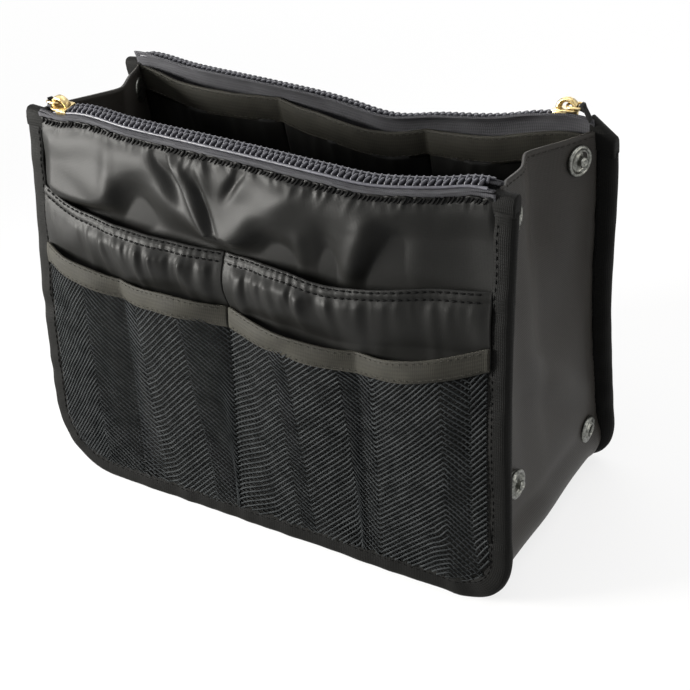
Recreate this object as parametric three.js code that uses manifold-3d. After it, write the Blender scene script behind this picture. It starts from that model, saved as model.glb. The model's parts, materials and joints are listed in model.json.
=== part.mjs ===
// Purse organizer insert: two flat zip pouches as walls, joined by a soft gusset strip with press snaps.
// Millimetres, +Z up. The front wall faces -Y and the origin is on the floor under the middle.
import * as THREE from 'three';
import { mergeGeometries, mergeVertices } from 'three/addons/utils/BufferGeometryUtils.js';
import Module from 'manifold-3d';

const wasm = await Module();
wasm.setup();

// Overall size
const WIDTH = 270; // across a wall, binding included
const WALL_HEIGHT = 196; // up a wall, from its foot to the flat of its zip tape
const BASE_DEPTH = 124; // between the walls' middle planes at the foot
const TOP_DEPTH = 75; // the same at the zips, because the walls lean together
const CORNER_RADIUS = 38; // lower corners of a wall, along the binding's outer edge

// Layers of a wall
const SEWN_GAP = 0.3; // left between pieces that are sewn or pressed together
const FACE_THICKNESS = 0.8;
const FOAM_THICKNESS = 1.2;
const LINING_THICKNESS = 0.8;
const POUCH_GAP = 0.9; // room inside the empty zip pouch

// Edge binding, a folded tape
const BINDING_WIDTH = 9.5;
const BINDING_LEG = 0.8; // thickness of the tape on either face
const BINDING_FOLD = 1.6; // material outside the panel edges
const BINDING_DROP = 9; // from the zip tape's flat down to the binding's top ends

// Zip
const TAPE_THICKNESS = 0.6;
const TAPE_DROP = 12; // from the tape's flat down to its sewn edge
const PANEL_DROP = 8; // from the tape's flat down to the panels' top edges
const RIDGE_HALF_WIDTH = 6.2; // middle of the zip to the bend of its tape
const TAPE_BEND = 1; // chamfer where the tape bends down
const TAPE_SLOT = 3; // open width between the two tapes, under the teeth
const TAPE_END_GAP = 0.9; // from the tape's end to the binding
const TOOTH_PITCH = 3.6;
const TOOTH_WIDTH = 1.35;
const TOOTH_HEIGHT = 1.8;
const TOOTH_ROOT = 3.1; // middle of the zip to the root of a tooth
const TOOTH_REACH = 0.55; // how far a tooth reaches past the middle
const TOOTH_SLANT = 0.5; // sideways lean of a tooth along its length
const CHAIN_END_GAP = 6; // bare tape after the last tooth

// Zip slider
const SLIDER_LENGTH = 11;
const SLIDER_WIDTH = 8.8;
const SLIDER_TAIL_WIDTH = 8.2;
const SLIDER_NOSE_WIDTH = 3.6;
const SLIDER_PLATE = 1.2;
const SLIDER_END_GAP = 4; // from the tape's end to the slider's nose
const FLANGE_THICKNESS = 0.7;
const POST_LENGTH = 3;
const POST_WIDTH = 2.2;
const BRIDGE_LENGTH = 8;
const BRIDGE_HEIGHT = 4.2;
const BRIDGE_WIDTH = 2.2;
const BRIDGE_BAR = 1.3;
const RUNNING_GAP = 0.35; // clearance of moving metal

// Pull loop and its ribbon tab
const LOOP_LENGTH = 8.2; // from the pivot to the loop's far end
const LOOP_WIDTH = 6.6;
const LOOP_WIRE = 1.3;
const LOOP_HEIGHT = 1.55; // pivot above the slider's top plate
const TAB_WIDTH = 3.3;
const TAB_LENGTH = 11;
const TAB_LAYER = 0.6;

// Zip end tabs
const END_TAB_RIM = 0.5; // back from the binding's outer edge
const END_TAB_RISE = 0.4; // above the tape's flat
const END_TAB_EDGE = 1.2; // chamfer along its top

// Satin pockets on a wall's outer face
const SATIN_DROP = 47; // from the wall's top to the pockets' mouths
const SATIN_TOP = WALL_HEIGHT - SATIN_DROP;
const SATIN_SPLIT = -12; // seam between the left and the right pocket
const SATIN_BULGE = 6.5;
const SATIN_RISE = 2; // power of the swell from foot to mouth; 1 is a straight slope
const SATIN_THICKNESS = 0.8;
const MOUTH_FULLNESS = 0.7; // power of every pocket's swell from seam to seam

// Net pockets in front of the satin, with a band over their mouths
const NET_DROP = 85;
const NET_TOP = WALL_HEIGHT - NET_DROP;
const NET_SEAMS = [-74, -12, 62];
const NET_BULGE = 7;
const NET_RISE = 0.6;
const NET_THICKNESS = 0.8;
const BAND_HEIGHT = 10.5;
const BAND_THICKNESS = 1.6;

// Inner pockets on the back wall's lining
const INNER_DROP = 25;
const INNER_TOP = WALL_HEIGHT - INNER_DROP;
const INNER_SEAMS = [-49, 33];
const INNER_BULGE = 6.5;
const INNER_RISE = 0.9;
const INNER_FOOT_GAP = 1.3; // above the base strip
const INNER_THICKNESS = 0.8;
const INNER_BAND_HEIGHT = 12;

// Gusset strip
const GUSSET_INSET = 8; // in from the wall's outer edge
const GUSSET_DROP = 12;
const GUSSET_TOP = WALL_HEIGHT - GUSSET_DROP;
const GUSSET_FOLD = 14; // how far the crease stands in at the top
const STRIP_THICKNESS = 1.2;

// Press snaps
const SNAP_RADIUS = 7;
const SNAP_RIM = 1.4; // thickness at the rolled rim
const SNAP_DISH = 0.9; // thickness inside the rim
const STUD_RADIUS = 2.3;
const STUD_HEIGHT = 4.2;
const STUD_NECK = 1.85; // radius under the ball and at its tip
const STUD_WIDEST = 3.15; // height of the ball's widest ring
const SOCKET_BORE = 2.7; // radius
const SOCKET_HEIGHT = 2.8;
const SOCKET_WALL = 1.5;
const CAP_RADIUS = 6.4;
const CAP_HEIGHT = 1.2;
const CAP_SHOULDER_RADIUS = 4.5;
const CAP_SHOULDER_HEIGHT = 1;
const SNAP_INSET = 12; // from the wall's face to the snap's middle
const SNAP_SEAT = 0.45; // off the slightly twisted cloth
const CAP_SEAT = 0.88; // off the cloth's inner side, which is hollow at the corner
const SNAP_DROP = 11; // from a gusset's top hem to the upper snaps
const STUD_LEVEL = 46; // lower snaps, which are set at two heights
const SOCKET_LEVEL = 31;
const SNAPS = [
  { level: 'top', kind: 'socket', end: -1, z: GUSSET_TOP - SNAP_DROP },
  { level: 'top', kind: 'stud', end: 1, z: GUSSET_TOP - SNAP_DROP },
  { level: 'bottom', kind: 'stud', end: -1, z: STUD_LEVEL },
  { level: 'bottom', kind: 'socket', end: 1, z: SOCKET_LEVEL },
]; // a stud and a socket at either level, near the front (-1) and the back (1) wall

// Facets
const ARC_STEPS = 8;
const SNAP_SIDES = 12;
const POCKET_COLUMNS = 10;
const POCKET_ROWS = 4;
const BAND_COLUMNS = 20;
const INNER_BAND_COLUMNS = 30;
const GUSSET_COLUMNS = 6;
const GUSSET_ROWS = 5; // above the corner

// Worked-out sizes
const LEAN = Math.atan((BASE_DEPTH - TOP_DEPTH) / 2 / WALL_HEIGHT);
const STACK_HALF = (FACE_THICKNESS + SEWN_GAP + FOAM_THICKNESS + POUCH_GAP + LINING_THICKNESS) / 2;
const BINDING_HALF = STACK_HALF + SEWN_GAP + BINDING_LEG;
const BINDING_TOP = WALL_HEIGHT - BINDING_DROP;
const PANEL_EDGE = BINDING_FOLD + SEWN_GAP;
const POCKET_EDGE = BINDING_WIDTH + SEWN_GAP;
const POCKET_HALF_WIDTH = WIDTH / 2 - POCKET_EDGE;
const TAPE_END = WIDTH / 2 - BINDING_WIDTH - TAPE_END_GAP;
const SLIDER_X = -TAPE_END + SLIDER_END_GAP + SLIDER_LENGTH / 2;
const POST_X = -SLIDER_LENGTH / 2 + POST_LENGTH;
const TEETH_TOP = WALL_HEIGHT + TOOTH_HEIGHT;
const PLATE_TOP = TEETH_TOP + RUNNING_GAP + SLIDER_PLATE;
const SLIDER_FLOOR = WALL_HEIGHT - TAPE_THICKNESS - RUNNING_GAP - SLIDER_PLATE;

const FABRIC = { roughness: 0.75, metalness: 0 };
const SATIN = { color: 0x2c2c2b, roughness: 0.45, metalness: 0 };
const LINING = { color: 0x232321, ...FABRIC };
const FOAM = { color: 0xd8d6cf, roughness: 0.9, metalness: 0 };
const NET = { color: 0x17181a, ...FABRIC };
const GROSGRAIN = { color: 0x3b3a35, ...FABRIC };
const BINDING = { color: 0x1b1b19, ...FABRIC };
const GUSSET = { color: 0x302e2b, ...FABRIC };
const ZIP = { color: 0x3d3d42, roughness: 0.6, metalness: 0 };
const GOLD = { color: 0xd8bf83, roughness: 0.3, metalness: 1 };
const NICKEL = { color: 0x8f928c, roughness: 0.35, metalness: 1 };

const organizer = new THREE.Group();

/** Adds a named mesh with its own material to a group. */
function addMesh(parent, name, geometry, look) {
  const mesh = new THREE.Mesh(geometry, new THREE.MeshStandardMaterial(look));
  mesh.name = name;
  parent.add(mesh);
  return mesh;
}

/** Turns a closed geometry into a solid that can be joined and cut. */
function toSolid(geometry) {
  const bare = geometry.clone();
  bare.deleteAttribute('normal');
  bare.deleteAttribute('uv');
  const merged = mergeVertices(bare, 1e-4);
  return new wasm.Manifold(new wasm.Mesh({
    numProp: 3,
    vertProperties: new Float32Array(merged.attributes.position.array),
    triVerts: new Uint32Array(merged.index.array),
  }));
}

/** Turns a joined or cut solid back into a geometry. */
function toGeometry(solid) {
  const mesh = solid.getMesh();
  const geometry = new THREE.BufferGeometry();
  geometry.setAttribute('position', new THREE.BufferAttribute(mesh.vertProperties, 3));
  geometry.setIndex(new THREE.BufferAttribute(mesh.triVerts, 1));
  geometry.computeVertexNormals();
  return geometry;
}

/** Joins several overlapping closed geometries into one. */
function join(...geometries) {
  return toGeometry(geometries.map(toSolid).reduce((sum, next) => sum.add(next)));
}

/** Closed sheet between two grids of points, given as functions of (u, w) from 0 to 1. */
function sheet(columns, rows, nearFace, farFace) {
  const points = [];
  const index = [];
  const id = (face, i, j) => (face * (rows + 1) + j) * (columns + 1) + i;
  for (const face of [nearFace, farFace]) {
    for (let j = 0; j <= rows; j += 1) {
      for (let i = 0; i <= columns; i += 1) points.push(...face(i / columns, j / rows).toArray());
    }
  }
  const quad = (a, b, c, d) => index.push(a, b, c, a, c, d);
  for (let j = 0; j < rows; j += 1) {
    for (let i = 0; i < columns; i += 1) {
      quad(id(0, i, j), id(0, i + 1, j), id(0, i + 1, j + 1), id(0, i, j + 1));
      quad(id(1, i, j), id(1, i, j + 1), id(1, i + 1, j + 1), id(1, i + 1, j));
    }
  }
  for (let i = 0; i < columns; i += 1) {
    quad(id(0, i, 0), id(1, i, 0), id(1, i + 1, 0), id(0, i + 1, 0));
    quad(id(0, i, rows), id(0, i + 1, rows), id(1, i + 1, rows), id(1, i, rows));
  }
  for (let j = 0; j < rows; j += 1) {
    quad(id(0, 0, j), id(0, 0, j + 1), id(1, 0, j + 1), id(1, 0, j));
    quad(id(0, columns, j), id(1, columns, j), id(1, columns, j + 1), id(0, columns, j + 1));
  }
  const geometry = new THREE.BufferGeometry();
  geometry.setAttribute('position', new THREE.Float32BufferAttribute(points, 3));
  geometry.setIndex(facesOut(points, index));
  geometry.computeVertexNormals();
  return geometry;
}

/** Turns every triangle round if the closed mesh encloses a negative volume. */
function facesOut(points, index) {
  const corner = (k) => new THREE.Vector3().fromArray(points, index[k] * 3);
  let volume = 0;
  for (let k = 0; k < index.length; k += 3) {
    volume += corner(k).dot(corner(k + 1).cross(corner(k + 2)));
  }
  if (volume > 0) return index;
  return index.map((_, k) => index[k - (k % 3) + 2 - (k % 3)]);
}

/** Plate from a shape in a wall's plane (x across, y up), between two depths. */
function plate(shape, nearDepth, farDepth) {
  const options = { depth: farDepth - nearDepth, bevelEnabled: false, curveSegments: ARC_STEPS };
  return new THREE.ExtrudeGeometry(shape, options).rotateX(Math.PI / 2).translate(0, farDepth, 0);
}

/** Bar along X from a shape in the plane of depth and height, between two ends. */
function barAlongX(shape, start, end) {
  const options = { depth: end - start, bevelEnabled: false, curveSegments: ARC_STEPS };
  const turn = new THREE.Matrix4().makeBasis(
    new THREE.Vector3(0, 1, 0),
    new THREE.Vector3(0, 0, 1),
    new THREE.Vector3(1, 0, 0),
  );
  return new THREE.ExtrudeGeometry(shape, options).applyMatrix4(turn).translate(start, 0, 0);
}

/** Upright prism from a shape in plan, between two heights. */
function prism(shape, low, high) {
  const options = { depth: high - low, bevelEnabled: false, curveSegments: ARC_STEPS };
  return new THREE.ExtrudeGeometry(shape, options).translate(0, 0, low);
}

/** Closed shape through a list of corner points. */
function polygon(corners) {
  return new THREE.Shape(corners.map(([a, b]) => new THREE.Vector2(a, b)));
}

/** Rectangle from its low and high corners. */
function rectangle(lowA, lowB, highA, highB) {
  return polygon([[lowA, lowB], [highA, lowB], [highA, highB], [lowA, highB]]);
}

/** Round profile of (radius, height) points, revolved about Z. */
function revolve(profile) {
  const points = profile.map(([radius, height]) => new THREE.Vector2(radius, height));
  return new THREE.LatheGeometry(points, SNAP_SIDES).rotateX(Math.PI / 2);
}

/** Lower edge of a wall, set in by a margin, at a distance from its middle. */
function wallFloor(x, inset) {
  const radius = CORNER_RADIUS - inset;
  const beyond = Math.abs(x) - (WIDTH / 2 - CORNER_RADIUS);
  if (beyond <= 0) return inset;
  return CORNER_RADIUS - Math.sqrt(Math.max(radius * radius - beyond * beyond, 0));
}

/** Draws the U of a wall's edge, set in by a margin, from one top end to the other. */
function traceWallEdge(path, inset, top, fromLeft) {
  const half = WIDTH / 2 - inset;
  const radius = CORNER_RADIUS - inset;
  const turn = fromLeft ? 1 : -1;
  const corner = WIDTH / 2 - CORNER_RADIUS;
  const down = Math.PI * 1.5;
  const start = fromLeft ? Math.PI : 0;
  const finish = fromLeft ? Math.PI * 2 : Math.PI;
  path.lineTo(-turn * half, top);
  path.lineTo(-turn * half, CORNER_RADIUS);
  path.absarc(-turn * corner, CORNER_RADIUS, radius, start, down, !fromLeft);
  path.absarc(turn * corner, CORNER_RADIUS, radius, down, finish, !fromLeft);
  path.lineTo(turn * half, top);
}

/** Outline of a wall panel, notched at its top corners for the zip's end tabs. */
function panelShape() {
  const top = WALL_HEIGHT - PANEL_DROP;
  const shape = new THREE.Shape();
  shape.moveTo(-TAPE_END, top);
  shape.lineTo(-TAPE_END, BINDING_TOP);
  traceWallEdge(shape, PANEL_EDGE, BINDING_TOP, true);
  shape.lineTo(TAPE_END, BINDING_TOP);
  shape.lineTo(TAPE_END, top);
  return shape;
}

/** U-shaped band between two margins of the wall's edge. */
function edgeBand(outerInset, innerInset, top) {
  const shape = new THREE.Shape();
  shape.moveTo(-WIDTH / 2 + outerInset, top);
  traceWallEdge(shape, outerInset, top, true);
  traceWallEdge(shape, innerInset, top, false);
  return shape;
}

/** Placing of a wall: its foot on the floor, leaning towards the middle. */
function wallMatrix() {
  const turn = new THREE.Matrix4().makeRotationX(-LEAN);
  return turn.setPosition(0, -BASE_DEPTH / 2, -BINDING_HALF * Math.sin(LEAN));
}

/** Folded tape over the panel edges, cut flat where it stands on the floor. */
function bindingGeometry() {
  const slotHalf = STACK_HALF + SEWN_GAP;
  const tape = plate(edgeBand(0, BINDING_WIDTH, BINDING_TOP), -BINDING_HALF, BINDING_HALF);
  const past = 1;
  const slot = plate(edgeBand(BINDING_FOLD, BINDING_WIDTH + past, BINDING_TOP + past), -slotHalf, slotHalf);
  const floor = new THREE.BoxGeometry(WIDTH * 2, BASE_DEPTH, BASE_DEPTH);
  floor.translate(0, -BASE_DEPTH / 2, -BASE_DEPTH / 2).applyMatrix4(wallMatrix().invert());
  return toGeometry(toSolid(tape).subtract(toSolid(slot)).subtract(toSolid(floor)));
}

/** Profile of one zip tape: lapped on the panel, up to the ridge and in to the teeth. */
function tapeShape(side) {
  const lap = STACK_HALF + SEWN_GAP;
  const foot = WALL_HEIGHT - TAPE_DROP;
  const panelTop = WALL_HEIGHT - PANEL_DROP;
  const under = WALL_HEIGHT - TAPE_THICKNESS;
  const lip = TAPE_SLOT / 2;
  const inner = RIDGE_HALF_WIDTH - TAPE_THICKNESS;
  const corners = [
    [lap, foot],
    [lap + TAPE_THICKNESS, foot],
    [lap + TAPE_THICKNESS, panelTop],
    [RIDGE_HALF_WIDTH, WALL_HEIGHT - TAPE_BEND],
    [RIDGE_HALF_WIDTH - TAPE_BEND, WALL_HEIGHT],
    [lip, WALL_HEIGHT],
    [lip, under],
    [inner - TAPE_BEND, under],
    [inner, under - TAPE_BEND],
    [lap, panelTop],
  ];
  return polygon(corners.map(([depth, height]) => [side * depth, height]));
}

/** Row of slanted teeth along one tape; the two rows are half a pitch apart and mesh. */
function teethGeometry(side) {
  const first = SLIDER_X + POST_X + TOOTH_PITCH / 2 + (side > 0 ? TOOTH_PITCH / 2 : 0);
  const last = TAPE_END - CHAIN_END_GAP;
  const half = TOOTH_WIDTH / 2;
  const tooth = polygon([
    [-half, side * TOOTH_ROOT],
    [half, side * TOOTH_ROOT],
    [half + TOOTH_SLANT, -side * TOOTH_REACH],
    [-half + TOOTH_SLANT, -side * TOOTH_REACH],
  ]);
  const sunk = TAPE_THICKNESS / 2;
  const one = prism(tooth, WALL_HEIGHT - sunk, TEETH_TOP);
  const copies = [];
  for (let x = first; x <= last; x += TOOTH_PITCH) copies.push(one.clone().translate(x, 0, 0));
  return mergeGeometries(copies);
}

/** One zip tape with its row of teeth. */
function zipTapeGeometry(side) {
  return join(barAlongX(tapeShape(side), -TAPE_END, TAPE_END), teethGeometry(side));
}

/** Cloth tab that closes a zip's end above the binding. */
function endTabGeometry(side) {
  const start = TAPE_END + SEWN_GAP;
  const end = WIDTH / 2 - END_TAB_RIM;
  const low = BINDING_TOP + SEWN_GAP;
  const high = WALL_HEIGHT + END_TAB_RISE;
  const wide = RIDGE_HALF_WIDTH;
  const shape = polygon([
    [-BINDING_HALF, low],
    [BINDING_HALF, low],
    [wide, high - END_TAB_EDGE],
    [wide - END_TAB_EDGE, high],
    [-wide + END_TAB_EDGE, high],
    [-wide, high - END_TAB_EDGE],
  ]);
  return side < 0 ? barAlongX(shape, -end, -start) : barAlongX(shape, start, end);
}

/** Shield outline of the slider's plates, nose towards -X. */
function sliderShape() {
  const half = SLIDER_LENGTH / 2;
  const shoulder = -half + POST_LENGTH;
  const shape = new THREE.Shape();
  shape.moveTo(half, -SLIDER_TAIL_WIDTH / 2);
  shape.lineTo(half, SLIDER_TAIL_WIDTH / 2);
  shape.lineTo(shoulder, SLIDER_WIDTH / 2);
  shape.quadraticCurveTo(-half, SLIDER_WIDTH / 2, -half, SLIDER_NOSE_WIDTH / 2);
  shape.lineTo(-half, -SLIDER_NOSE_WIDTH / 2);
  shape.quadraticCurveTo(-half, -SLIDER_WIDTH / 2, shoulder, -SLIDER_WIDTH / 2);
  return shape;
}

/** Zip slider: two shield plates on a post, flanges that hold the teeth, and the pull's bridge. */
function sliderGeometry() {
  const top = TEETH_TOP + RUNNING_GAP;
  const sunk = SLIDER_PLATE / 3;
  const upper = prism(sliderShape(), top, PLATE_TOP);
  const lower = prism(sliderShape(), SLIDER_FLOOR, SLIDER_FLOOR + SLIDER_PLATE);
  const post = prism(polygon([
    [POST_X, 0],
    [POST_X - POST_LENGTH / 2, POST_WIDTH / 2],
    [POST_X - POST_LENGTH, 0],
    [POST_X - POST_LENGTH / 2, -POST_WIDTH / 2],
  ]), SLIDER_FLOOR + SLIDER_PLATE - sunk, top + sunk);
  const tail = SLIDER_LENGTH / 2;
  const outer = SLIDER_TAIL_WIDTH / 2;
  const flanges = [-1, 1].map((side) => {
    const edges = [side * outer, side * (outer - FLANGE_THICKNESS)].sort((a, b) => a - b);
    return prism(rectangle(POST_X, edges[0], tail, edges[1]), WALL_HEIGHT + RUNNING_GAP, top + sunk);
  });
  const reach = BRIDGE_LENGTH / 2;
  const chamfer = BRIDGE_BAR / 2;
  const bridge = plate(polygon([
    [-reach, -sunk],
    [-reach + chamfer, BRIDGE_HEIGHT - chamfer],
    [-reach + 2 * chamfer, BRIDGE_HEIGHT],
    [reach - 2 * chamfer, BRIDGE_HEIGHT],
    [reach - chamfer, BRIDGE_HEIGHT - chamfer],
    [reach, -sunk],
    [reach - BRIDGE_BAR, -sunk],
    [reach - BRIDGE_BAR - chamfer, BRIDGE_HEIGHT - BRIDGE_BAR],
    [-reach + BRIDGE_BAR + chamfer, BRIDGE_HEIGHT - BRIDGE_BAR],
    [-reach + BRIDGE_BAR, -sunk],
  ]), -BRIDGE_WIDTH / 2, BRIDGE_WIDTH / 2).translate(0, 0, PLATE_TOP);
  return join(upper, lower, post, ...flanges, bridge).translate(SLIDER_X, 0, 0);
}

/** Flat wire loop whose near bar runs under the bridge; it lies towards the zip's end. */
function pullLoopGeometry() {
  const near = LOOP_WIRE / 2;
  const shape = rectangle(-LOOP_LENGTH, -LOOP_WIDTH / 2, near, LOOP_WIDTH / 2);
  const holeHalf = LOOP_WIDTH / 2 - LOOP_WIRE;
  shape.holes.push(rectangle(-LOOP_LENGTH + LOOP_WIRE, -holeHalf, -near, holeHalf));
  const level = PLATE_TOP + LOOP_HEIGHT;
  return prism(shape, level - near, level + near).translate(SLIDER_X, 0, 0);
}

/** Ribbon folded round the loop's far bar and sewn flat. */
function pullTabGeometry() {
  const bar = -LOOP_LENGTH + LOOP_WIRE / 2;
  const eye = LOOP_WIRE / 2 + RUNNING_GAP;
  const half = eye + TAB_LAYER;
  const shape = polygon([
    [bar + half, -eye],
    [bar + half, eye],
    [bar + eye, half],
    [bar - eye, half],
    [bar - half - eye, TAB_LAYER],
    [bar - TAB_LENGTH, TAB_LAYER],
    [bar - TAB_LENGTH, -TAB_LAYER],
    [bar - half - eye, -TAB_LAYER],
    [bar - eye, -half],
    [bar + eye, -half],
  ]);
  shape.holes.push(rectangle(bar - eye, -eye, bar + eye, eye));
  const level = PLATE_TOP + LOOP_HEIGHT;
  return plate(shape, -TAB_WIDTH / 2, TAB_WIDTH / 2).translate(SLIDER_X, 0, level);
}

/** Swell of a pocket mouth across its width, from seam to seam. */
function swell(x, left, right) {
  const share = THREE.MathUtils.clamp((x - left) / (right - left), 0, 1);
  return Math.sin(Math.PI * share) ** MOUTH_FULLNESS;
}

/** Swell of a pocket up its height, from its sewn foot to its mouth. */
function rise(x, v, top, power) {
  const floor = wallFloor(x, POCKET_EDGE);
  return THREE.MathUtils.clamp((v - floor) / (top - floor), 0, 1) ** power;
}

/** Which of the stretches between seams holds x. */
function stretchAt(x, seams) {
  const edges = [-POCKET_HALF_WIDTH, ...seams, POCKET_HALF_WIDTH];
  const k = edges.findIndex((edge, i) => i > 0 && x <= edge);
  return k < 0 ? edges.slice(-2) : [edges[k - 1], edges[k]];
}

/** Stand-off of the satin's inner side from the wall's middle plane. */
function satinDepth(x, v) {
  const [left, right] = stretchAt(x, [SATIN_SPLIT]);
  return STACK_HALF + SEWN_GAP + SATIN_BULGE * swell(x, left, right) * rise(x, v, SATIN_TOP, SATIN_RISE);
}

/** Stand-off of the net's inner side, which lies on the satin along its seams. */
function netDepth(x, v) {
  const [left, right] = stretchAt(x, NET_SEAMS);
  const lying = satinDepth(x, v) + SATIN_THICKNESS + SEWN_GAP;
  return lying + NET_BULGE * swell(x, left, right) * rise(x, v, NET_TOP, NET_RISE);
}

/** Stand-off of an inner pocket's wall side. */
function innerDepth(x, v) {
  const [left, right] = stretchAt(x, INNER_SEAMS);
  return STACK_HALF + SEWN_GAP + INNER_BULGE * swell(x, left, right) * rise(x, v, INNER_TOP, INNER_RISE);
}

/** Sheet of a pocket between two seams, from a lower to an upper edge, on one side of the wall. */
function pocketSheet(left, right, floorAt, top, depthAt, thickness, side, columns, rows) {
  const face = (extra) => (u, w) => {
    const x = THREE.MathUtils.lerp(left, right, u);
    const v = THREE.MathUtils.lerp(floorAt(x), top, w);
    return new THREE.Vector3(x, side * (depthAt(x, v) + extra), v);
  };
  return sheet(columns, rows, face(0), face(thickness));
}

/** Left and right satin pockets of one wall. */
function addSatinPockets(wall, prefix) {
  const floorAt = (x) => wallFloor(x, POCKET_EDGE);
  const seam = SEWN_GAP / 2;
  const stretches = {
    left: [-POCKET_HALF_WIDTH, SATIN_SPLIT - seam],
    right: [SATIN_SPLIT + seam, POCKET_HALF_WIDTH],
  };
  for (const [name, [left, right]] of Object.entries(stretches)) {
    const geometry = pocketSheet(
      left, right, floorAt, SATIN_TOP, satinDepth, SATIN_THICKNESS, -1, POCKET_COLUMNS, POCKET_ROWS,
    );
    addMesh(wall, `${prefix}_satin_pocket_${name}`, geometry, SATIN);
  }
}

/** Four net pockets and the two bands over their mouths. */
function addNetPockets(wall) {
  const floorAt = (x) => wallFloor(x, POCKET_EDGE);
  const edges = [-POCKET_HALF_WIDTH, ...NET_SEAMS, POCKET_HALF_WIDTH];
  const seam = SEWN_GAP / 2;
  for (let k = 0; k < edges.length - 1; k += 1) {
    const geometry = pocketSheet(
      edges[k] + seam, edges[k + 1] - seam, floorAt, NET_TOP, netDepth, NET_THICKNESS, -1,
      POCKET_COLUMNS, POCKET_ROWS,
    );
    addMesh(wall, `front_net_pocket_${k + 1}`, geometry, NET);
  }
  const middle = NET_SEAMS[1];
  const bandDepth = (x) => netDepth(x, NET_TOP + BAND_HEIGHT);
  const bandFloor = () => NET_TOP + SEWN_GAP;
  const stretches = { left: [edges[0], middle - seam], right: [middle + seam, edges[4]] };
  for (const [name, [left, right]] of Object.entries(stretches)) {
    const geometry = pocketSheet(
      left, right, bandFloor, NET_TOP + BAND_HEIGHT, bandDepth, BAND_THICKNESS, -1, BAND_COLUMNS, 1,
    );
    addMesh(wall, `front_net_band_${name}`, geometry, GROSGRAIN);
  }
}

/** Three inner pockets and the band over their mouths. */
function addInnerPockets(wall) {
  const floorAt = (x) => wallFloor(x, GUSSET_INSET + STRIP_THICKNESS + INNER_FOOT_GAP);
  const edges = [-POCKET_HALF_WIDTH, ...INNER_SEAMS, POCKET_HALF_WIDTH];
  const seam = SEWN_GAP / 2;
  const names = ['right', 'middle', 'left'];
  names.forEach((name, k) => {
    const geometry = pocketSheet(
      edges[k] + seam, edges[k + 1] - seam, floorAt, INNER_TOP, innerDepth, INNER_THICKNESS, 1,
      POCKET_COLUMNS, POCKET_ROWS,
    );
    addMesh(wall, `inner_pocket_${name}`, geometry, LINING);
  });
  const bandTop = INNER_TOP + INNER_BAND_HEIGHT;
  const bandDepth = (x) => innerDepth(x, bandTop);
  const band = pocketSheet(
    edges[0], edges[3], () => INNER_TOP + SEWN_GAP, bandTop, bandDepth, BAND_THICKNESS, 1,
    INNER_BAND_COLUMNS, 1,
  );
  addMesh(wall, 'inner_pocket_band', band, GROSGRAIN);
}

/** Panels, binding and zip of one wall, in the wall's own frame (outer side towards -Y). */
function addWall(wall, prefix, outerTape, innerTape) {
  let depth = -STACK_HALF;
  addMesh(wall, `${prefix}_face_panel`, plate(panelShape(), depth, depth + FACE_THICKNESS), SATIN);
  depth += FACE_THICKNESS + SEWN_GAP;
  addMesh(wall, `${prefix}_foam_sheet`, plate(panelShape(), depth, depth + FOAM_THICKNESS), FOAM);
  depth += FOAM_THICKNESS + POUCH_GAP;
  addMesh(wall, `${prefix}_lining_panel`, plate(panelShape(), depth, depth + LINING_THICKNESS), LINING);
  addMesh(wall, `${prefix}_binding`, bindingGeometry(), BINDING);
  addSatinPockets(wall, prefix);
  addMesh(wall, outerTape, zipTapeGeometry(-1), ZIP);
  addMesh(wall, innerTape, zipTapeGeometry(1), ZIP);
  addMesh(wall, `${prefix}_zip_end_closed`, endTabGeometry(-1), BINDING);
  addMesh(wall, `${prefix}_zip_end_open`, endTabGeometry(1), BINDING);
  addMesh(wall, `${prefix}_zip_slider`, sliderGeometry(), GOLD);
  addMesh(wall, `${prefix}_zip_loop`, pullLoopGeometry(), GOLD);
  addMesh(wall, `${prefix}_zip_tab`, pullTabGeometry(), BINDING);
}

/** Group of a wall, standing and leaning at the front. */
function wallGroup() {
  const group = new THREE.Group();
  group.applyMatrix4(wallMatrix());
  return group;
}

/** Half of the room between the walls' bindings at a height. */
function roomHalf(z) {
  return BASE_DEPTH / 2 - z * Math.tan(LEAN) - (BINDING_HALF + SEWN_GAP) / Math.cos(LEAN);
}

/** Place and inward direction, in the XZ plane, of a gusset at a height. */
function gussetStationAt(side, z) {
  const radius = CORNER_RADIUS - GUSSET_INSET;
  const angle = Math.asin(Math.max(CORNER_RADIUS - z, 0) / radius);
  const x = side * (WIDTH / 2 - CORNER_RADIUS + radius * Math.cos(angle));
  return { x, z, inX: -side * Math.cos(angle), inZ: Math.sin(angle) };
}

/** Stations down one gusset and round its corner. */
function gussetStations(side) {
  const radius = CORNER_RADIUS - GUSSET_INSET;
  const stations = [];
  for (let k = 0; k < GUSSET_ROWS; k += 1) {
    const z = THREE.MathUtils.lerp(GUSSET_TOP, CORNER_RADIUS, k / GUSSET_ROWS);
    stations.push(gussetStationAt(side, z));
  }
  for (let k = 0; k <= ARC_STEPS; k += 1) {
    const angle = (k / ARC_STEPS) * Math.PI / 2;
    stations.push(gussetStationAt(side, CORNER_RADIUS - radius * Math.sin(angle)));
  }
  return stations;
}

/** How far the gusset's crease stands in: all of it at the top, nothing at the corner. */
function foldAt(z, across) {
  const share = Math.max((z - CORNER_RADIUS) / (GUSSET_TOP - CORNER_RADIUS), 0);
  return GUSSET_FOLD * share * (1 - Math.abs(across));
}

/** Point of the strip's outer face, moved in by a depth; across runs from -1 (front) to 1 (back). */
function stripPoint(station, across, depth) {
  const move = foldAt(station.z, across) + depth;
  const x = station.x + station.inX * move;
  const z = station.z + station.inZ * move;
  return new THREE.Vector3(x, across * roomHalf(station.z), z);
}

/** Sheet of the strip through a list of stations. */
function stripSheet(stations, columns) {
  const rows = stations.length - 1;
  const face = (depth) => (u, w) => stripPoint(stations[Math.round(w * rows)], 2 * u - 1, depth);
  return sheet(columns, rows, face(0), face(STRIP_THICKNESS));
}

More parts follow.
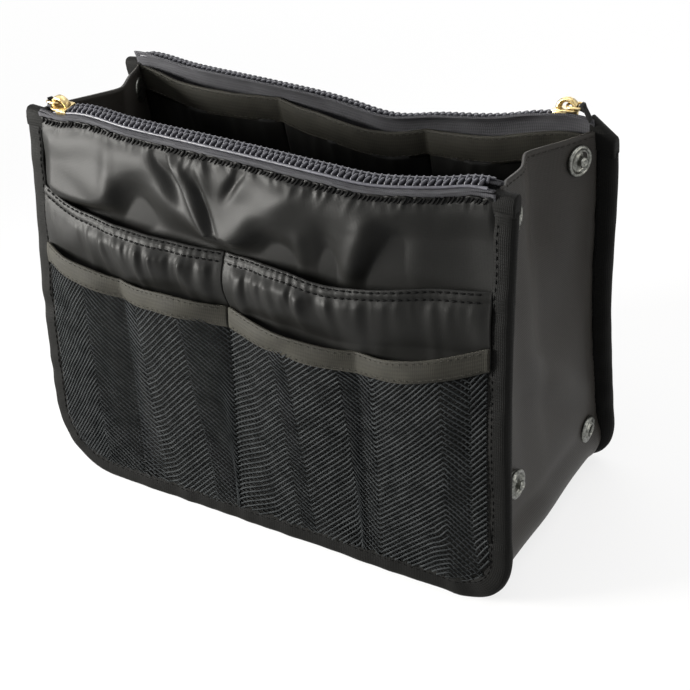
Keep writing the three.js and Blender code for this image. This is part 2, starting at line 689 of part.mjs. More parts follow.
/** Stud half of a press snap, standing up from z = 0. */
function studGeometry() {
  return revolve([
    [0, 0],
    [SNAP_RADIUS, 0],
    [SNAP_RADIUS, SNAP_RIM - SNAP_DISH / 2],
    [SNAP_RADIUS - SNAP_RIM / 2, SNAP_RIM],
    [SNAP_RADIUS - SNAP_RIM * 1.5, SNAP_DISH],
    [STUD_NECK, SNAP_DISH],
    [STUD_RADIUS, STUD_WIDEST],
    [STUD_NECK, STUD_HEIGHT],
    [0, STUD_HEIGHT],
  ]);
}

/** Socket half of a press snap, with an open bore. */
function socketGeometry() {
  const outer = SOCKET_BORE + SOCKET_WALL;
  return revolve([
    [SOCKET_BORE, 0],
    [SNAP_RADIUS, 0],
    [SNAP_RADIUS, SNAP_RIM - SNAP_DISH / 2],
    [SNAP_RADIUS - SNAP_RIM / 2, SNAP_RIM],
    [outer, SNAP_DISH],
    [outer - SOCKET_WALL / 3, SOCKET_HEIGHT],
    [SOCKET_BORE, SOCKET_HEIGHT],
    [SOCKET_BORE, 0],
  ]);
}

/** Domed cap that rivets a snap from the inner side. */
function capGeometry() {
  return revolve([
    [0, 0],
    [CAP_RADIUS, 0],
    [CAP_RADIUS, CAP_HEIGHT / 3],
    [CAP_SHOULDER_RADIUS, CAP_SHOULDER_HEIGHT],
    [0, CAP_HEIGHT],
  ]);
}

/** Middle and outward direction of a snap on a gusset's face. */
function snapSeat(side, end, z) {
  const station = gussetStationAt(side, z);
  const across = end * (1 - SNAP_INSET / roomHalf(z));
  const step = 0.01;
  const middle = stripPoint(station, across, 0);
  const along = stripPoint(station, across + step, 0).sub(middle);
  const up = stripPoint(gussetStationAt(side, z + step), across, 0).sub(middle);
  const out = along.cross(up).normalize();
  if (out.x * side < 0) out.negate();
  return { middle, out };
}

/** Adds a piece of a snap, standing off the cloth along a direction. */
function addSnapPiece(name, geometry, middle, direction, lift) {
  const mesh = addMesh(organizer, name, geometry, NICKEL);
  mesh.position.copy(middle).addScaledVector(direction, lift);
  mesh.quaternion.setFromUnitVectors(new THREE.Vector3(0, 0, 1), direction);
}

/** The four press snaps of one gusset, each riveted through it by a cap. */
function addSnaps(side, sideName) {
  for (const { level, kind, end, z } of SNAPS) {
    const { middle, out } = snapSeat(side, end, z);
    const name = `${sideName}_${kind}_${level}`;
    const geometry = kind === 'stud' ? studGeometry() : socketGeometry();
    addSnapPiece(name, geometry, middle, out, SNAP_SEAT);
    addSnapPiece(`${name}_cap`, capGeometry(), middle, out.negate(), STRIP_THICKNESS + CAP_SEAT);
  }
}

/** Gussets, base and snaps between the walls. */
function addStrip() {
  for (const [side, name] of [[-1, 'left'], [1, 'right']]) {
    addMesh(organizer, `${name}_gusset`, stripSheet(gussetStations(side), GUSSET_COLUMNS), GUSSET);
    addSnaps(side, name);
  }
  const end = WIDTH / 2 - CORNER_RADIUS - SEWN_GAP;
  const stations = [-end, end].map((x) => ({ x, z: GUSSET_INSET, inX: 0, inZ: 1 }));
  addMesh(organizer, 'base_panel', stripSheet(stations, 2), GUSSET);
}

const frontWall = wallGroup();
addWall(frontWall, 'front', 'front_zip_tape_outer', 'front_zip_tape_inner');
addNetPockets(frontWall);

const backWall = wallGroup();
addWall(backWall, 'back', 'back_zip_tape_outer', 'back_zip_tape_inner');
addInnerPockets(backWall);
const backHalf = new THREE.Group();
backHalf.rotation.z = Math.PI;
backHalf.add(backWall);

addStrip();
organizer.add(frontWall, backHalf);

export default organizer;
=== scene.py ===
"""Looks of a purse organizer insert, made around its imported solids.

Lengths are millimetres until a mesh is made. A wall's own frame is x across, d out of the wall's
middle plane, v up the wall.
"""

import json
import logging
import math
from dataclasses import dataclass
from enum import Enum
from typing import Callable, Sequence

import bmesh
import bpy
import numpy as np
from mathutils import Matrix, Vector

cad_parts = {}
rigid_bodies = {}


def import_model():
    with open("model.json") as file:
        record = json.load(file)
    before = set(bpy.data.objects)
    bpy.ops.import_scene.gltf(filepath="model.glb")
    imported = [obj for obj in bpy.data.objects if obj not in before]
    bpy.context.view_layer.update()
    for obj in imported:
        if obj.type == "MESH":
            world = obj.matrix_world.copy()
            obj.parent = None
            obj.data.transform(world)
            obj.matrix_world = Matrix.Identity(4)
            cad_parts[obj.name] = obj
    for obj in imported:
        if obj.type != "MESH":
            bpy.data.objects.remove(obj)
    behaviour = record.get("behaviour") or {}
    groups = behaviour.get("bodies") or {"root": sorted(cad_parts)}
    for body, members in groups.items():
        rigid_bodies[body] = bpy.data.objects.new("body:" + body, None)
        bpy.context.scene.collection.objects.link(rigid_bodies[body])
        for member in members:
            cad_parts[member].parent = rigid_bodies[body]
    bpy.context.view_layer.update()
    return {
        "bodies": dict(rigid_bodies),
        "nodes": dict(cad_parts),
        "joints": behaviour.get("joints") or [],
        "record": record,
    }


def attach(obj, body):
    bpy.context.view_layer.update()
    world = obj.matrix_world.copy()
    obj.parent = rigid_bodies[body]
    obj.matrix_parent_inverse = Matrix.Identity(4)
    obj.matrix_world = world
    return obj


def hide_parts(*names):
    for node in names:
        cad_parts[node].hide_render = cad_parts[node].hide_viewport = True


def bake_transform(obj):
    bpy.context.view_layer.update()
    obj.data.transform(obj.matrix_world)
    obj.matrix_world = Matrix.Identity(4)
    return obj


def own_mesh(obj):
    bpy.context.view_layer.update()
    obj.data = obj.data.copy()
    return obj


Array = np.ndarray
Mesher = Callable[[Array, Array], tuple[Array, Array]]

MM = 0.001
LOG = logging.getLogger("organizer")


class Side(Enum):
    """The two walls; the value turns a wall's frame into the object's."""

    FRONT = 1
    BACK = -1


# Sizes that the solids give
WIDTH = 270.0
HEIGHT = 196.0
BASE_DEPTH = 124.0
TOP_DEPTH = 75.0
CORNER = 38.0
BINDING_HALF = 3.1
BINDING_TOP = 187.0
STACK_HALF = 2.0
POCKET_EDGE = 9.8
PANEL_EDGE = 1.9
TAPE_END = 124.6
SATIN_TOP = 149.0
SATIN_SPLIT = -12.0
NET_TOP = 111.0
NET_SEAMS = (-74.0, -12.0, 62.0)
BAND_HEIGHT = 10.5
INNER_TOP = 171.0
INNER_SEAMS = (-49.0, 33.0)
INNER_BAND = 12.0
GUSSET_INSET = 8.0
GUSSET_TOP = 184.0
GUSSET_FOLD = 14.0
SLIDER_X = -115.1
PLATE_TOP = 199.35
PIVOT_LEVEL = 200.9

# Room between layers of cloth, and how far pockets swell at their mouths
CLOTH_GAP = 0.3
POCKET_SWELL = 6.5
NET_GAP = 1.1
NET_SWELL = 6.0

# How the soft object has settled: lengths, and shares of the width for the front's sides
HANG_START = 70.0
WALL_START = 4.0
WALL_FADE = 24.0
RIGHT_DRAWN_IN = 0.05
LEFT_PUSHED_OUT = 0.022
SIDES_FULL = 180.0
BACK_PUSH = 3.5
BACK_PUSH_START = 90.0
BACK_PUSH_RISE = 95.0
BACK_PUSH_INNER = 60.0
BACK_PUSH_FADE = 70.0
SQUARER = 0.16
INNER_LIFT = 7.0

LEAN = math.atan((BASE_DEPTH - TOP_DEPTH) / 2 / HEIGHT)
POCKET_HALF = WIDTH / 2 - POCKET_EDGE


def ease(share: Array) -> Array:
    """Smooth step from 0 to 1."""
    share = np.clip(share, 0.0, 1.0)
    return share * share * (3.0 - 2.0 * share)


def rumple(a: Array, b: Array, seed: int, wave: float) -> Array:
    """Gentle unevenness of loose cloth.

    Args:
        a: places along the cloth.
        b: places up the cloth.
        seed: picks the pattern.
        wave: usual distance between swells.

    Returns:
        Heights of about -1 to 1.
    """
    rng = np.random.default_rng(seed)
    total = np.zeros_like(a)
    count = 14
    for _ in range(count):
        angle = rng.uniform(0.0, 2.0 * math.pi)
        length = wave * rng.uniform(0.6, 1.6)
        phase = rng.uniform(0.0, 2.0 * math.pi)
        across = a * math.cos(angle) + b * math.sin(angle)
        total += np.sin(across * 2.0 * math.pi / length + phase)
    return total / math.sqrt(count)


@dataclass(frozen=True)
class Curve:
    """Smooth curve through (place, value) points."""

    points: tuple[tuple[float, float], ...]

    def at(self, x: Array) -> Array:
        """Values of the curve.

        Args:
            x: places, which are held at the curve's ends.

        Returns:
            The value at each place.
        """
        xs = np.array([p[0] for p in self.points])
        ys = np.array([p[1] for p in self.points])
        slopes = np.gradient(ys, xs)
        x = np.clip(x, xs[0], xs[-1])
        k = np.clip(np.searchsorted(xs, x) - 1, 0, len(xs) - 2)
        h = xs[k + 1] - xs[k]
        t = (x - xs[k]) / h
        start = (1 + 2 * t) * (1 - t) ** 2 * ys[k] + t * (1 - t) ** 2 * h * slopes[k]
        return start + t * t * (3 - 2 * t) * ys[k + 1] + t * t * (t - 1) * h * slopes[k + 1]


@dataclass(frozen=True)
class Puckers:
    """Short wrinkles that a seam draws in the cloth beside it."""

    seed: int
    first: float
    last: float
    spacing: float
    depth: float
    reach: float
    lean: float = 0.25
    broad: float = 0.36

    def height(self, along: Array, away: Array) -> Array:
        """Height of the wrinkles.

        Args:
            along: places along the seam.
            away: distance from the seam, 0 or more.

        Returns:
            Heights of 0 and up.
        """
        rng = np.random.default_rng(self.seed)
        total = np.zeros_like(along)
        place = self.first
        while place < self.last:
            width = self.spacing * self.broad * rng.uniform(0.7, 1.3)
            depth = self.depth * rng.uniform(0.35, 1.0)
            reach = self.reach * rng.uniform(0.5, 1.4)
            off = (along - place - rng.uniform(-1, 1) * self.lean * away) / width
            total += depth * np.exp(-off * off) * np.exp(-((away / reach) ** 2))
            place += self.spacing * rng.uniform(0.6, 1.5)
        return total


@dataclass(frozen=True)
class Fold:
    """One ridge (or valley, below zero) along a line on a wall."""

    start: tuple[float, float]
    end: tuple[float, float]
    width: float
    height: float
    fade_start: float = 0.25
    fade_end: float = 0.4

    def at(self, x: Array, v: Array) -> Array:
        """Height of the fold.

        Args:
            x: places across the wall.
            v: places up the wall.

        Returns:
            Heights, below zero in a valley.
        """
        run = np.array(self.end) - np.array(self.start)
        length = float(np.hypot(*run))
        along = ((x - self.start[0]) * run[0] + (v - self.start[1]) * run[1]) / length**2
        off = ((x - self.start[0]) * run[1] - (v - self.start[1]) * run[0]) / length
        grow = ease((along + self.fade_start) / (2 * self.fade_start))
        drop = ease((1 + self.fade_end - along) / (2 * self.fade_end))
        return self.height * grow * drop * np.exp(-((off / self.width) ** 2))


def relax(points: Array) -> Array:
    """Moves places as the soft object has settled.

    Towards the top, the front wall's right side is drawn in, its left side and the back wall's two
    corners are pushed out. The lower right corners are squarer than they were cut.

    Args:
        points: places in the object's frame, in millimetres.

    Returns:
        The settled places.
    """
    x, y, z = points[..., 0], points[..., 1], points[..., 2]
    front = ease((-y - WALL_START) / WALL_FADE)
    back = ease((y - WALL_START) / WALL_FADE)
    drawn = -np.where(x > 0, RIGHT_DRAWN_IN, -LEFT_PUSHED_OUT) * x * front * ease(z / SIDES_FULL)
    high = ease((z - BACK_PUSH_START) / BACK_PUSH_RISE)
    pushed = BACK_PUSH * np.sign(x) * back * high * ease((np.abs(x) - BACK_PUSH_INNER) / BACK_PUSH_FADE)
    a = np.maximum(x - (WIDTH / 2 - CORNER), 0.0) / CORNER
    b = np.maximum(CORNER - z, 0.0) / CORNER
    square = SQUARER * (2 * a * b / np.maximum(a * a + b * b, 1e-9)) ** 2
    across = x + drawn + pushed + a * CORNER * square
    return np.stack([across, y, np.maximum(z - b * CORNER * square, 0.0)], axis=-1)


@dataclass(frozen=True)
class Wall:
    """One wall's place and how its soft top hangs."""

    side: Side
    sag: Curve
    bow: Curve

    def place(self, x: Array, d: Array, v: Array) -> Array:
        """Places in the object's frame.

        Args:
            x: across the wall.
            d: out of its middle plane, away from the organizer's inside.
            v: up the wall.

        Returns:
            One row of x, y, z for each place, in millimetres.
        """
        x, d, v = np.broadcast_arrays(x, d, v)
        share = self.slack(v)
        v = v - self.sag.at(x) * share
        d = d + self.bow.at(x) * share
        y = -d * math.cos(LEAN) + v * math.sin(LEAN) - BASE_DEPTH / 2
        z = d * math.sin(LEAN) + v * math.cos(LEAN) - BINDING_HALF * math.sin(LEAN)
        turn = float(self.side.value)
        return relax(np.stack([x * turn, y * turn, np.maximum(z, 0.0)], axis=-1))

    @staticmethod
    def slack(v: Array) -> Array:
        """How far a height takes part in the hang of the top, 0 to 1."""
        return ease((v - HANG_START) / (HEIGHT - HANG_START))

    def held(self, x: Array, v: Array) -> Array:
        """Height along the cloth of what is seen at height v once the top hangs."""
        return v + self.sag.at(x) * self.slack(v)

    def matrix(self) -> Matrix:
        """Placing of a rigid piece that is built in the wall's frame (x, inward, up).

        Returns:
            The matrix, with its shift in metres.
        """
        spot = Matrix.Translation((0.0, -BASE_DEPTH / 2 * MM, -BINDING_HALF * math.sin(LEAN) * MM))
        placed = spot @ Matrix.Rotation(-LEAN, 4, "X")
        return placed if self.side is Side.FRONT else Matrix.Rotation(math.pi, 4, "Z") @ placed

    @property
    def out(self) -> Vector:
        """Direction out of the wall."""
        return Vector((0.0, -self.side.value * math.cos(LEAN), math.sin(LEAN)))


# The soft top leans back at all four corners
SKEW = 6.2

FRONT = Wall(
    Side.FRONT,
    sag=Curve(
        (
            (-135, -2), (-124, -1), (-115, -0.3), (-99, -1.9), (-67, -0.9), (-25, 0), (8, 1),
            (44, 2.5), (69, 4), (88, 3), (100, 2), (112, 0), (135, 0),
        )
    ),
    bow=Curve(
        (
            (-135, -SKEW), (-115, -SKEW), (-99, -5.6), (-67, -1.5), (-25, 1), (0, 2),
            (60, 2.5), (88, -1.5), (100, -4.5), (112, -SKEW), (135, -SKEW),
        )
    ),
)
BACK = Wall(
    Side.BACK,
    sag=Curve(
        (
            (-135, 6), (-128, 3), (-116, 0.3), (-100, 1.2), (-85, 4), (-55, 6), (-33, 8),
            (-6, 4.5), (40, 1.5), (100, 0.5), (113, 0), (135, 1),
        )
    ),
    bow=Curve(
        (
            (-135, SKEW), (-116, SKEW), (-100, 5), (-85, 3), (-70, 0.8), (-55, -1), (-33, -4),
            (10, -2.5), (60, -0.5), (90, 2.5), (108, 5.7), (113, SKEW), (135, SKEW),
        )
    ),
)


def wall_floor(x: Array, inset: float) -> Array:
    """Lower edge of a wall.

    Args:
        x: places across the wall.
        inset: margin that it is set in by.

    Returns:
        Heights up the wall.
    """
    radius = CORNER - inset
    beyond = np.maximum(np.abs(x) - (WIDTH / 2 - CORNER), 0.0)
    return CORNER - np.sqrt(np.maximum(radius**2 - beyond**2, 0.0))


def swell(x: Array, seams: Sequence[float], power: float = 0.8) -> Array:
    """Swell of pocket mouths between seams.

    Args:
        x: places across the wall.
        seams: the seams between the pockets.
        power: how steeply the cloth leaves a seam.

    Returns:
        0 at each seam and 1 midway.
    """
    edges = np.array([-POCKET_HALF, *seams, POCKET_HALF])
    k = np.clip(np.searchsorted(edges, x) - 1, 0, len(edges) - 2)
    share = np.clip((x - edges[k]) / (edges[k + 1] - edges[k]), 0.0, 1.0)
    return np.sin(math.pi * share) ** power


def rise(x: Array, v: Array, top: float, power: float) -> Array:
    """Swell of a pocket from its sewn foot to its mouth.

    Args:
        x: places across the wall.
        v: places up the wall.
        top: height of the mouth.
        power: how late the cloth leaves the wall.

    Returns:
        0 at the foot and 1 at the mouth.
    """
    floor = wall_floor(x, POCKET_EDGE)
    return np.clip((v - floor) / (top - floor), 0.0, 1.0) ** power


def satin_depth(x: Array, v: Array) -> Array:
    """Stand-off of a satin pocket's inner side."""
    return STACK_HALF + CLOTH_GAP + POCKET_SWELL * swell(x, (SATIN_SPLIT,)) * rise(x, v, SATIN_TOP, 2.0)


def net_depth(x: Array, v: Array) -> Array:
    """Stand-off of the net's inner side."""
    return satin_depth(x, v) + NET_GAP + NET_SWELL * swell(x, NET_SEAMS, 1.1) * rise(x, v, NET_TOP, 0.6)


def inner_depth(x: Array, v: Array) -> Array:
    """Stand-off of an inner pocket's wall side."""
    return STACK_HALF + CLOTH_GAP + POCKET_SWELL * swell(x, INNER_SEAMS) * rise(x, v, INNER_TOP, 0.9)


# The chain's slope towards the outside, the ridges that the tapes bend over, and where they are sewn
ZIP_TILT = 0.3
RIDGE_TOP = 195.6
RIDGE_HALF = 6.15
TAPE_FOOT = 184.5
TAPE_HALF = 3.0
TAPE_PROFILE = Curve(((0.0, TAPE_HALF), (0.6, 3.1), (0.75, 3.7), (0.92, 5.6), (1.0, RIDGE_HALF)))
PINCH_START = 106.0
PINCH_RUN = 18.0
PINCH = 0.75
SEAM_END = 122.0


def outer_tape(v: Array) -> Array:
    """Stand-off of the outer zip tape at a height."""
    return TAPE_PROFILE.at((v - TAPE_FOOT) / (RIDGE_TOP - ZIP_TILT * RIDGE_HALF - TAPE_FOOT))


def pinched(x: Array, d: Array) -> Array:
    """Stand-off of a zip tape, drawn together where its ends are bound."""
    return TAPE_HALF + (d - TAPE_HALF) * (1 - PINCH * ease((np.abs(x) - PINCH_START) / PINCH_RUN))


# Finishes


def linear(code: str) -> tuple[float, float, float, float]:
    """Linear colour of an sRGB hex code."""
    parts = [int(code[i : i + 2], 16) / 255 for i in (0, 2, 4)]
    return (*[p / 12.92 if p <= 0.04045 else ((p + 0.055) / 1.055) ** 2.4 for p in parts], 1.0)


def add_node(
    tree: bpy.types.NodeTree, kind: str, feeds: dict | None = None, **settings: object
) -> bpy.types.Node:
    """Adds a shader node.

    Args:
        tree: the material's nodes.
        kind: the node's type.
        feeds: input name or number to a value, or to the socket that is linked to it.
        settings: the node's own properties.

    Returns:
        The node.
    """
    node = tree.nodes.new(kind)
    for key, value in settings.items():
        setattr(node, key, value)
    for key, value in (feeds or {}).items():
        if isinstance(value, bpy.types.NodeSocket):
            tree.links.new(value, node.inputs[key])
        else:
            node.inputs[key].default_value = value
    return node


def new_material(name: str) -> tuple[bpy.types.Material, bpy.types.NodeTree, bpy.types.Node]:
    """Starts a material with a Principled shader on its output.

    Args:
        name: the material's name.

    Returns:
        The material, its nodes and the shader.
    """
    material = bpy.data.materials.new(name)
    material.use_nodes = True
    tree = material.node_tree
    tree.nodes.clear()
    shader = add_node(tree, "ShaderNodeBsdfPrincipled")
    add_node(tree, "ShaderNodeOutputMaterial", {"Surface": shader.outputs["BSDF"]})
    return material, tree, shader


# A wave texture of scale 1 repeats after this many metres
WAVE_REPEAT = math.pi / 10
# Share of the weave in the colour: painted light along the threads and painted shade between them
PAINTED_THREAD_LIGHT = 0.55
# Where the colour ramp starts; it carries both the uneven dye and the painted thread light
DYE_AND_THREAD_LIGHT_START = 0.35
DYE_GLOSS = 0.06
SHEEN_ROUGHNESS = 0.4


@dataclass(frozen=True)
class WovenCloth:
    """Cloth or tape woven from filament yarn: two sets of threads, painted lighter along the threads and
    darker between them as painted light and shade, and a slightly uneven dye.

    The threads are drawn about three times as far apart as they are, so that they show.
    """

    name: str
    dark: str
    light: str
    warp_mm: float
    weft_mm: float
    warp_share: float
    relief_mm: float
    roughness: float
    specular: float
    sheen: float
    sheen_tint: str
    blotch_mm: float = 30.0
    crinkle_mm: float = 2.2
    crinkle: float = 0.0

    def make(self) -> bpy.types.Material:
        """Builds the material on the cloth's own UV map, which is in metres.

        Returns:
            The material.
        """
        material, tree, shader = new_material(self.name)
        place = add_node(tree, "ShaderNodeTexCoord").outputs["UV"]
        waves = []
        for pitch, direction in ((self.warp_mm, "X"), (self.weft_mm, "Y")):
            wave = add_node(
                tree,
                "ShaderNodeTexWave",
                {"Vector": place, "Scale": WAVE_REPEAT / (pitch * MM), "Distortion": 0.6, "Detail": 1.0},
                wave_type="BANDS",
                bands_direction=direction,
                wave_profile="SIN",
            )
            waves.append(wave.outputs["Fac"])
        # The weave paints the threads lighter and the gaps between them darker: painted light and shade. The
        # blotches are uneven dye.
        shares = {0: self.warp_share, 2: waves[1], 3: waves[0]}
        weave = add_node(tree, "ShaderNodeMix", shares, data_type="FLOAT")
        blotch = add_node(
            tree, "ShaderNodeTexNoise", {"Vector": place, "Scale": 1 / (self.blotch_mm * MM), "Detail": 3.0}
        )
        blend = add_node(
            tree,
            "ShaderNodeMath",
            {0: weave.outputs[0], 1: PAINTED_THREAD_LIGHT, 2: blotch.outputs["Fac"]},
            operation="MULTIPLY_ADD",
        )
        ramp = add_node(tree, "ShaderNodeValToRGB", {"Fac": blend.outputs[0]})
        ramp.color_ramp.elements[0].position = DYE_AND_THREAD_LIGHT_START
        ramp.color_ramp.elements[0].color = linear(self.dark)
        ramp.color_ramp.elements[1].color = linear(self.light)
        crinkle = add_node(
            tree, "ShaderNodeTexNoise", {"Vector": place, "Scale": 1 / (self.crinkle_mm * MM), "Detail": 2.0}
        )
        relief = add_node(
            tree,
            "ShaderNodeMath",
            {0: crinkle.outputs["Fac"], 1: self.crinkle, 2: weave.outputs[0]},
            operation="MULTIPLY_ADD",
        )
        bump = add_node(
            tree,
            "ShaderNodeBump",
            {"Height": relief.outputs[0], "Distance": self.relief_mm * MM, "Strength": 1.0},
        )
        rough = add_node(
            tree,
            "ShaderNodeMapRange",
            {"Value": blotch.outputs["Fac"], 3: self.roughness - DYE_GLOSS, 4: self.roughness + DYE_GLOSS},
        )
        tree.links.new(ramp.outputs["Color"], shader.inputs["Base Color"])
        tree.links.new(bump.outputs["Normal"], shader.inputs["Normal"])
        tree.links.new(rough.outputs[0], shader.inputs["Roughness"])
        shader.inputs["Specular IOR Level"].default_value = self.specular
        shader.inputs["Sheen Weight"].default_value = self.sheen
        shader.inputs["Sheen Roughness"].default_value = SHEEN_ROUGHNESS
        shader.inputs["Sheen Tint"].default_value = linear(self.sheen_tint)
        return material


@dataclass(frozen=True)
class Moulded:
    """Plain moulded, plated or spun surface, uneven in tone and gloss with handling."""

    name: str
    shade: str
    worn: str
    metallic: float
    roughness: float
    grain_mm: float
    specular: float = 0.5
    mark_mm: float = 0.03
    mark_share: float = 0.5
    dulled: float = 0.1
    polished: float = 0.05

    def make(self) -> bpy.types.Material:
        """Builds the material on object coordinates.

        Returns:
            The material.
        """
        material, tree, shader = new_material(self.name)
        place = add_node(tree, "ShaderNodeTexCoord").outputs["Object"]
        grain = add_node(
            tree, "ShaderNodeTexNoise", {"Vector": place, "Scale": 1 / (self.grain_mm * MM), "Detail": 4.0}
        )
        ramp = add_node(tree, "ShaderNodeValToRGB", {"Fac": grain.outputs["Fac"]})
        ramp.color_ramp.elements[0].position = 0.3
        ramp.color_ramp.elements[0].color = linear(self.worn)
        ramp.color_ramp.elements[1].position = 0.6
        ramp.color_ramp.elements[1].color = linear(self.shade)
        rough = add_node(
            tree,
            "ShaderNodeMapRange",
            {
                "Value": grain.outputs["Fac"],
                3: self.roughness + self.dulled,
                4: self.roughness - self.polished,
            },
        )
        bump = add_node(
            tree,
            "ShaderNodeBump",
            {"Height": grain.outputs["Fac"], "Distance": self.mark_mm * MM, "Strength": self.mark_share},
        )
        tree.links.new(ramp.outputs["Color"], shader.inputs["Base Color"])
        tree.links.new(rough.outputs[0], shader.inputs["Roughness"])
        tree.links.new(bump.outputs["Normal"], shader.inputs["Normal"])
        shader.inputs["Metallic"].default_value = self.metallic
        shader.inputs["Specular IOR Level"].default_value = self.specular
        return material


# Meshes


def finish_mesh(name: str, mesh: bpy.types.Mesh, material: bpy.types.Material) -> bpy.types.Object:
    """Puts a mesh in the scene as a smooth-shaded piece.

    Args:
        name: the piece's name.
        mesh: its mesh, in place.
        material: its finish.

    Returns:
        The piece.
    """
    mesh.materials.clear()
    mesh.materials.append(material)
    mesh.shade_smooth()
    piece = bpy.data.objects.new(name, mesh)
    bpy.context.scene.collection.objects.link(piece)
    return piece


def made_mesh(name: str, bm: bmesh.types.BMesh) -> bpy.types.Mesh:
    """Turns a finished bmesh into a mesh.

    Args:
        name: the mesh's name.
        bm: what it is made from, which is freed.

    Returns:
        The mesh.
    """
    mesh = bpy.data.meshes.new(name)
    bm.to_mesh(mesh)
    bm.free()
    return mesh


def prism(
    bm: bmesh.types.BMesh, outline: Sequence[tuple[float, float, float]], run: tuple[float, float, float]
) -> None:
    """Adds a solid by pushing a flat outline along.

    Args:
        bm: what it is added to.
        outline: the corners in order.
        run: how far the outline is pushed.
    """
    face = bm.faces.new([bm.verts.new(spot) for spot in outline])
    grown = bmesh.ops.extrude_face_region(bm, geom=[face])
    moved = [g for g in grown["geom"] if isinstance(g, bmesh.types.BMVert)]
    bmesh.ops.translate(bm, verts=moved, vec=run)


def soften(bm: bmesh.types.BMesh, offset: float, segments: int) -> None:
    """Rounds every edge of a piece.

    Args:
        bm: the piece.
        offset: how far the rounding starts from an edge.
        segments: its steps.
    """
    bmesh.ops.bevel(
        bm, geom=bm.edges[:], offset=offset, segments=segments, profile=0.5, affect="EDGES", material=-1
    )


def cloth(
    name: str,
    columns: int,
    rows: int,
    place: Mesher,
    material: bpy.types.Material,
    thickness: float = 0.0,
    flip: bool = False,
    ring: bool = False,
) -> bpy.types.Object:
    """Piece of cloth from a grid that is laid along a surface.

    Args:
        name: the piece's name.
        columns: grid cells across.
        rows: grid cells up.
        place: turns grid shares (across, up) into places in millimetres and cloth coordinates.
        material: its finish.
        thickness: of the cloth, which grows away from its face; 0 leaves one layer.
        flip: turns its face round.
        ring: joins the grid's first and last column and closes its ends.

    Returns:
        The piece.
    """
    bm = bmesh.new()
    bmesh.ops.create_grid(bm, x_segments=columns, y_segments=rows, size=0.5)
    mesh = made_mesh(name, bm)
    shares = np.empty(len(mesh.vertices) * 3, np.float32)
    mesh.vertices.foreach_get("co", shares)
    shares = shares.reshape(-1, 3).astype(float) + 0.5
    points, lay = place(shares[:, 0], shares[:, 1])
    mesh.vertices.foreach_set("co", (points * MM).astype(np.float32).ravel())
    corner = np.empty(len(mesh.loops), np.int32)
    mesh.loops.foreach_get("vertex_index", corner)
    layer = mesh.uv_layers.new(name="UVMap")
    layer.data.foreach_set("uv", (lay[corner] * MM).astype(np.float32).ravel())
    if flip:
        mesh.flip_normals()
    if ring:
        bm = bmesh.new()
        bm.from_mesh(mesh)
        bmesh.ops.remove_doubles(bm, verts=bm.verts, dist=1e-6)
        bmesh.ops.holes_fill(bm, edges=[e for e in bm.edges if e.is_boundary], sides=0)
        bmesh.ops.recalc_face_normals(bm, faces=bm.faces)
        bm.to_mesh(mesh)
        bm.free()
    mesh.update()
    piece = finish_mesh(name, mesh, material)
    if thickness:
        solid = piece.modifiers.new("Thickness", "SOLIDIFY")
        solid.thickness = thickness * MM
        solid.offset = -1.0
    return piece


def strands(
    name: str, paths: Sequence[Array], radius: float, material: bpy.types.Material, sides: int = 0
) -> bpy.types.Object:
    """Round threads along paths in millimetres, as one piece.

    Args:
        name: the piece's name.
        paths: one array of places for each thread.
        radius: of a thread.
        material: its finish.
        sides: roundness; 0 gives four sides.

    Returns:
        The piece.
    """
    line = bpy.data.curves.new(name, "CURVE")
    line.dimensions = "3D"
    line.bevel_depth = radius * MM
    line.bevel_resolution = sides
    line.use_fill_caps = True
    for path in paths:
        spline = line.splines.new("POLY")
        spline.points.add(len(path) - 1)
        spots = np.ones((len(path), 4), np.float32)
        spots[:, :3] = path * MM
        spline.points.foreach_set("co", spots.ravel())
    holder = bpy.data.objects.new(name + "_line", line)
    bpy.context.scene.collection.objects.link(holder)
    bpy.context.view_layer.update()
    mesh = bpy.data.meshes.new_from_object(holder.evaluated_get(bpy.context.evaluated_depsgraph_get()))
    bpy.data.objects.remove(holder)
    bpy.data.curves.remove(line)
    mesh.name = name
    return finish_mesh(name, mesh, material)


# A stitch comes up, lies on the cloth and goes down: shares of its pitch and heights
STITCH_RUN = np.array([0.0, 0.3, 0.5, 0.72])
STITCH_LIFT = np.array([-0.35, 0.12, 0.12, -0.35])


def stitches(
    name: str, path: Array, outward: Array, pitch: float, radius: float, material: bpy.types.Material
) -> bpy.types.Object:
    """Row of thread stitches along a path.

    Args:
        name: the piece's name.
        path: places in millimetres.
        outward: direction out of the cloth at each place.
        pitch: length of a stitch with its gap.
        radius: of the thread.
        material: its finish.

    Returns:
        The piece.
    """
    steps = np.linalg.norm(np.diff(path, axis=0), axis=1)
    run = np.concatenate([[0.0], np.cumsum(steps)])
    rows = []
    for start in np.arange(pitch / 2, run[-1] - pitch, pitch):
        spots = start + STITCH_RUN * pitch
        centre = np.stack([np.interp(spots, run, path[:, k]) for k in range(3)], axis=-1)
        face = np.stack([np.interp(spots, run, outward[:, k]) for k in range(3)], axis=-1)
        rows.append(centre + face * STITCH_LIFT[:, None])
    return strands(name, rows, radius, material)


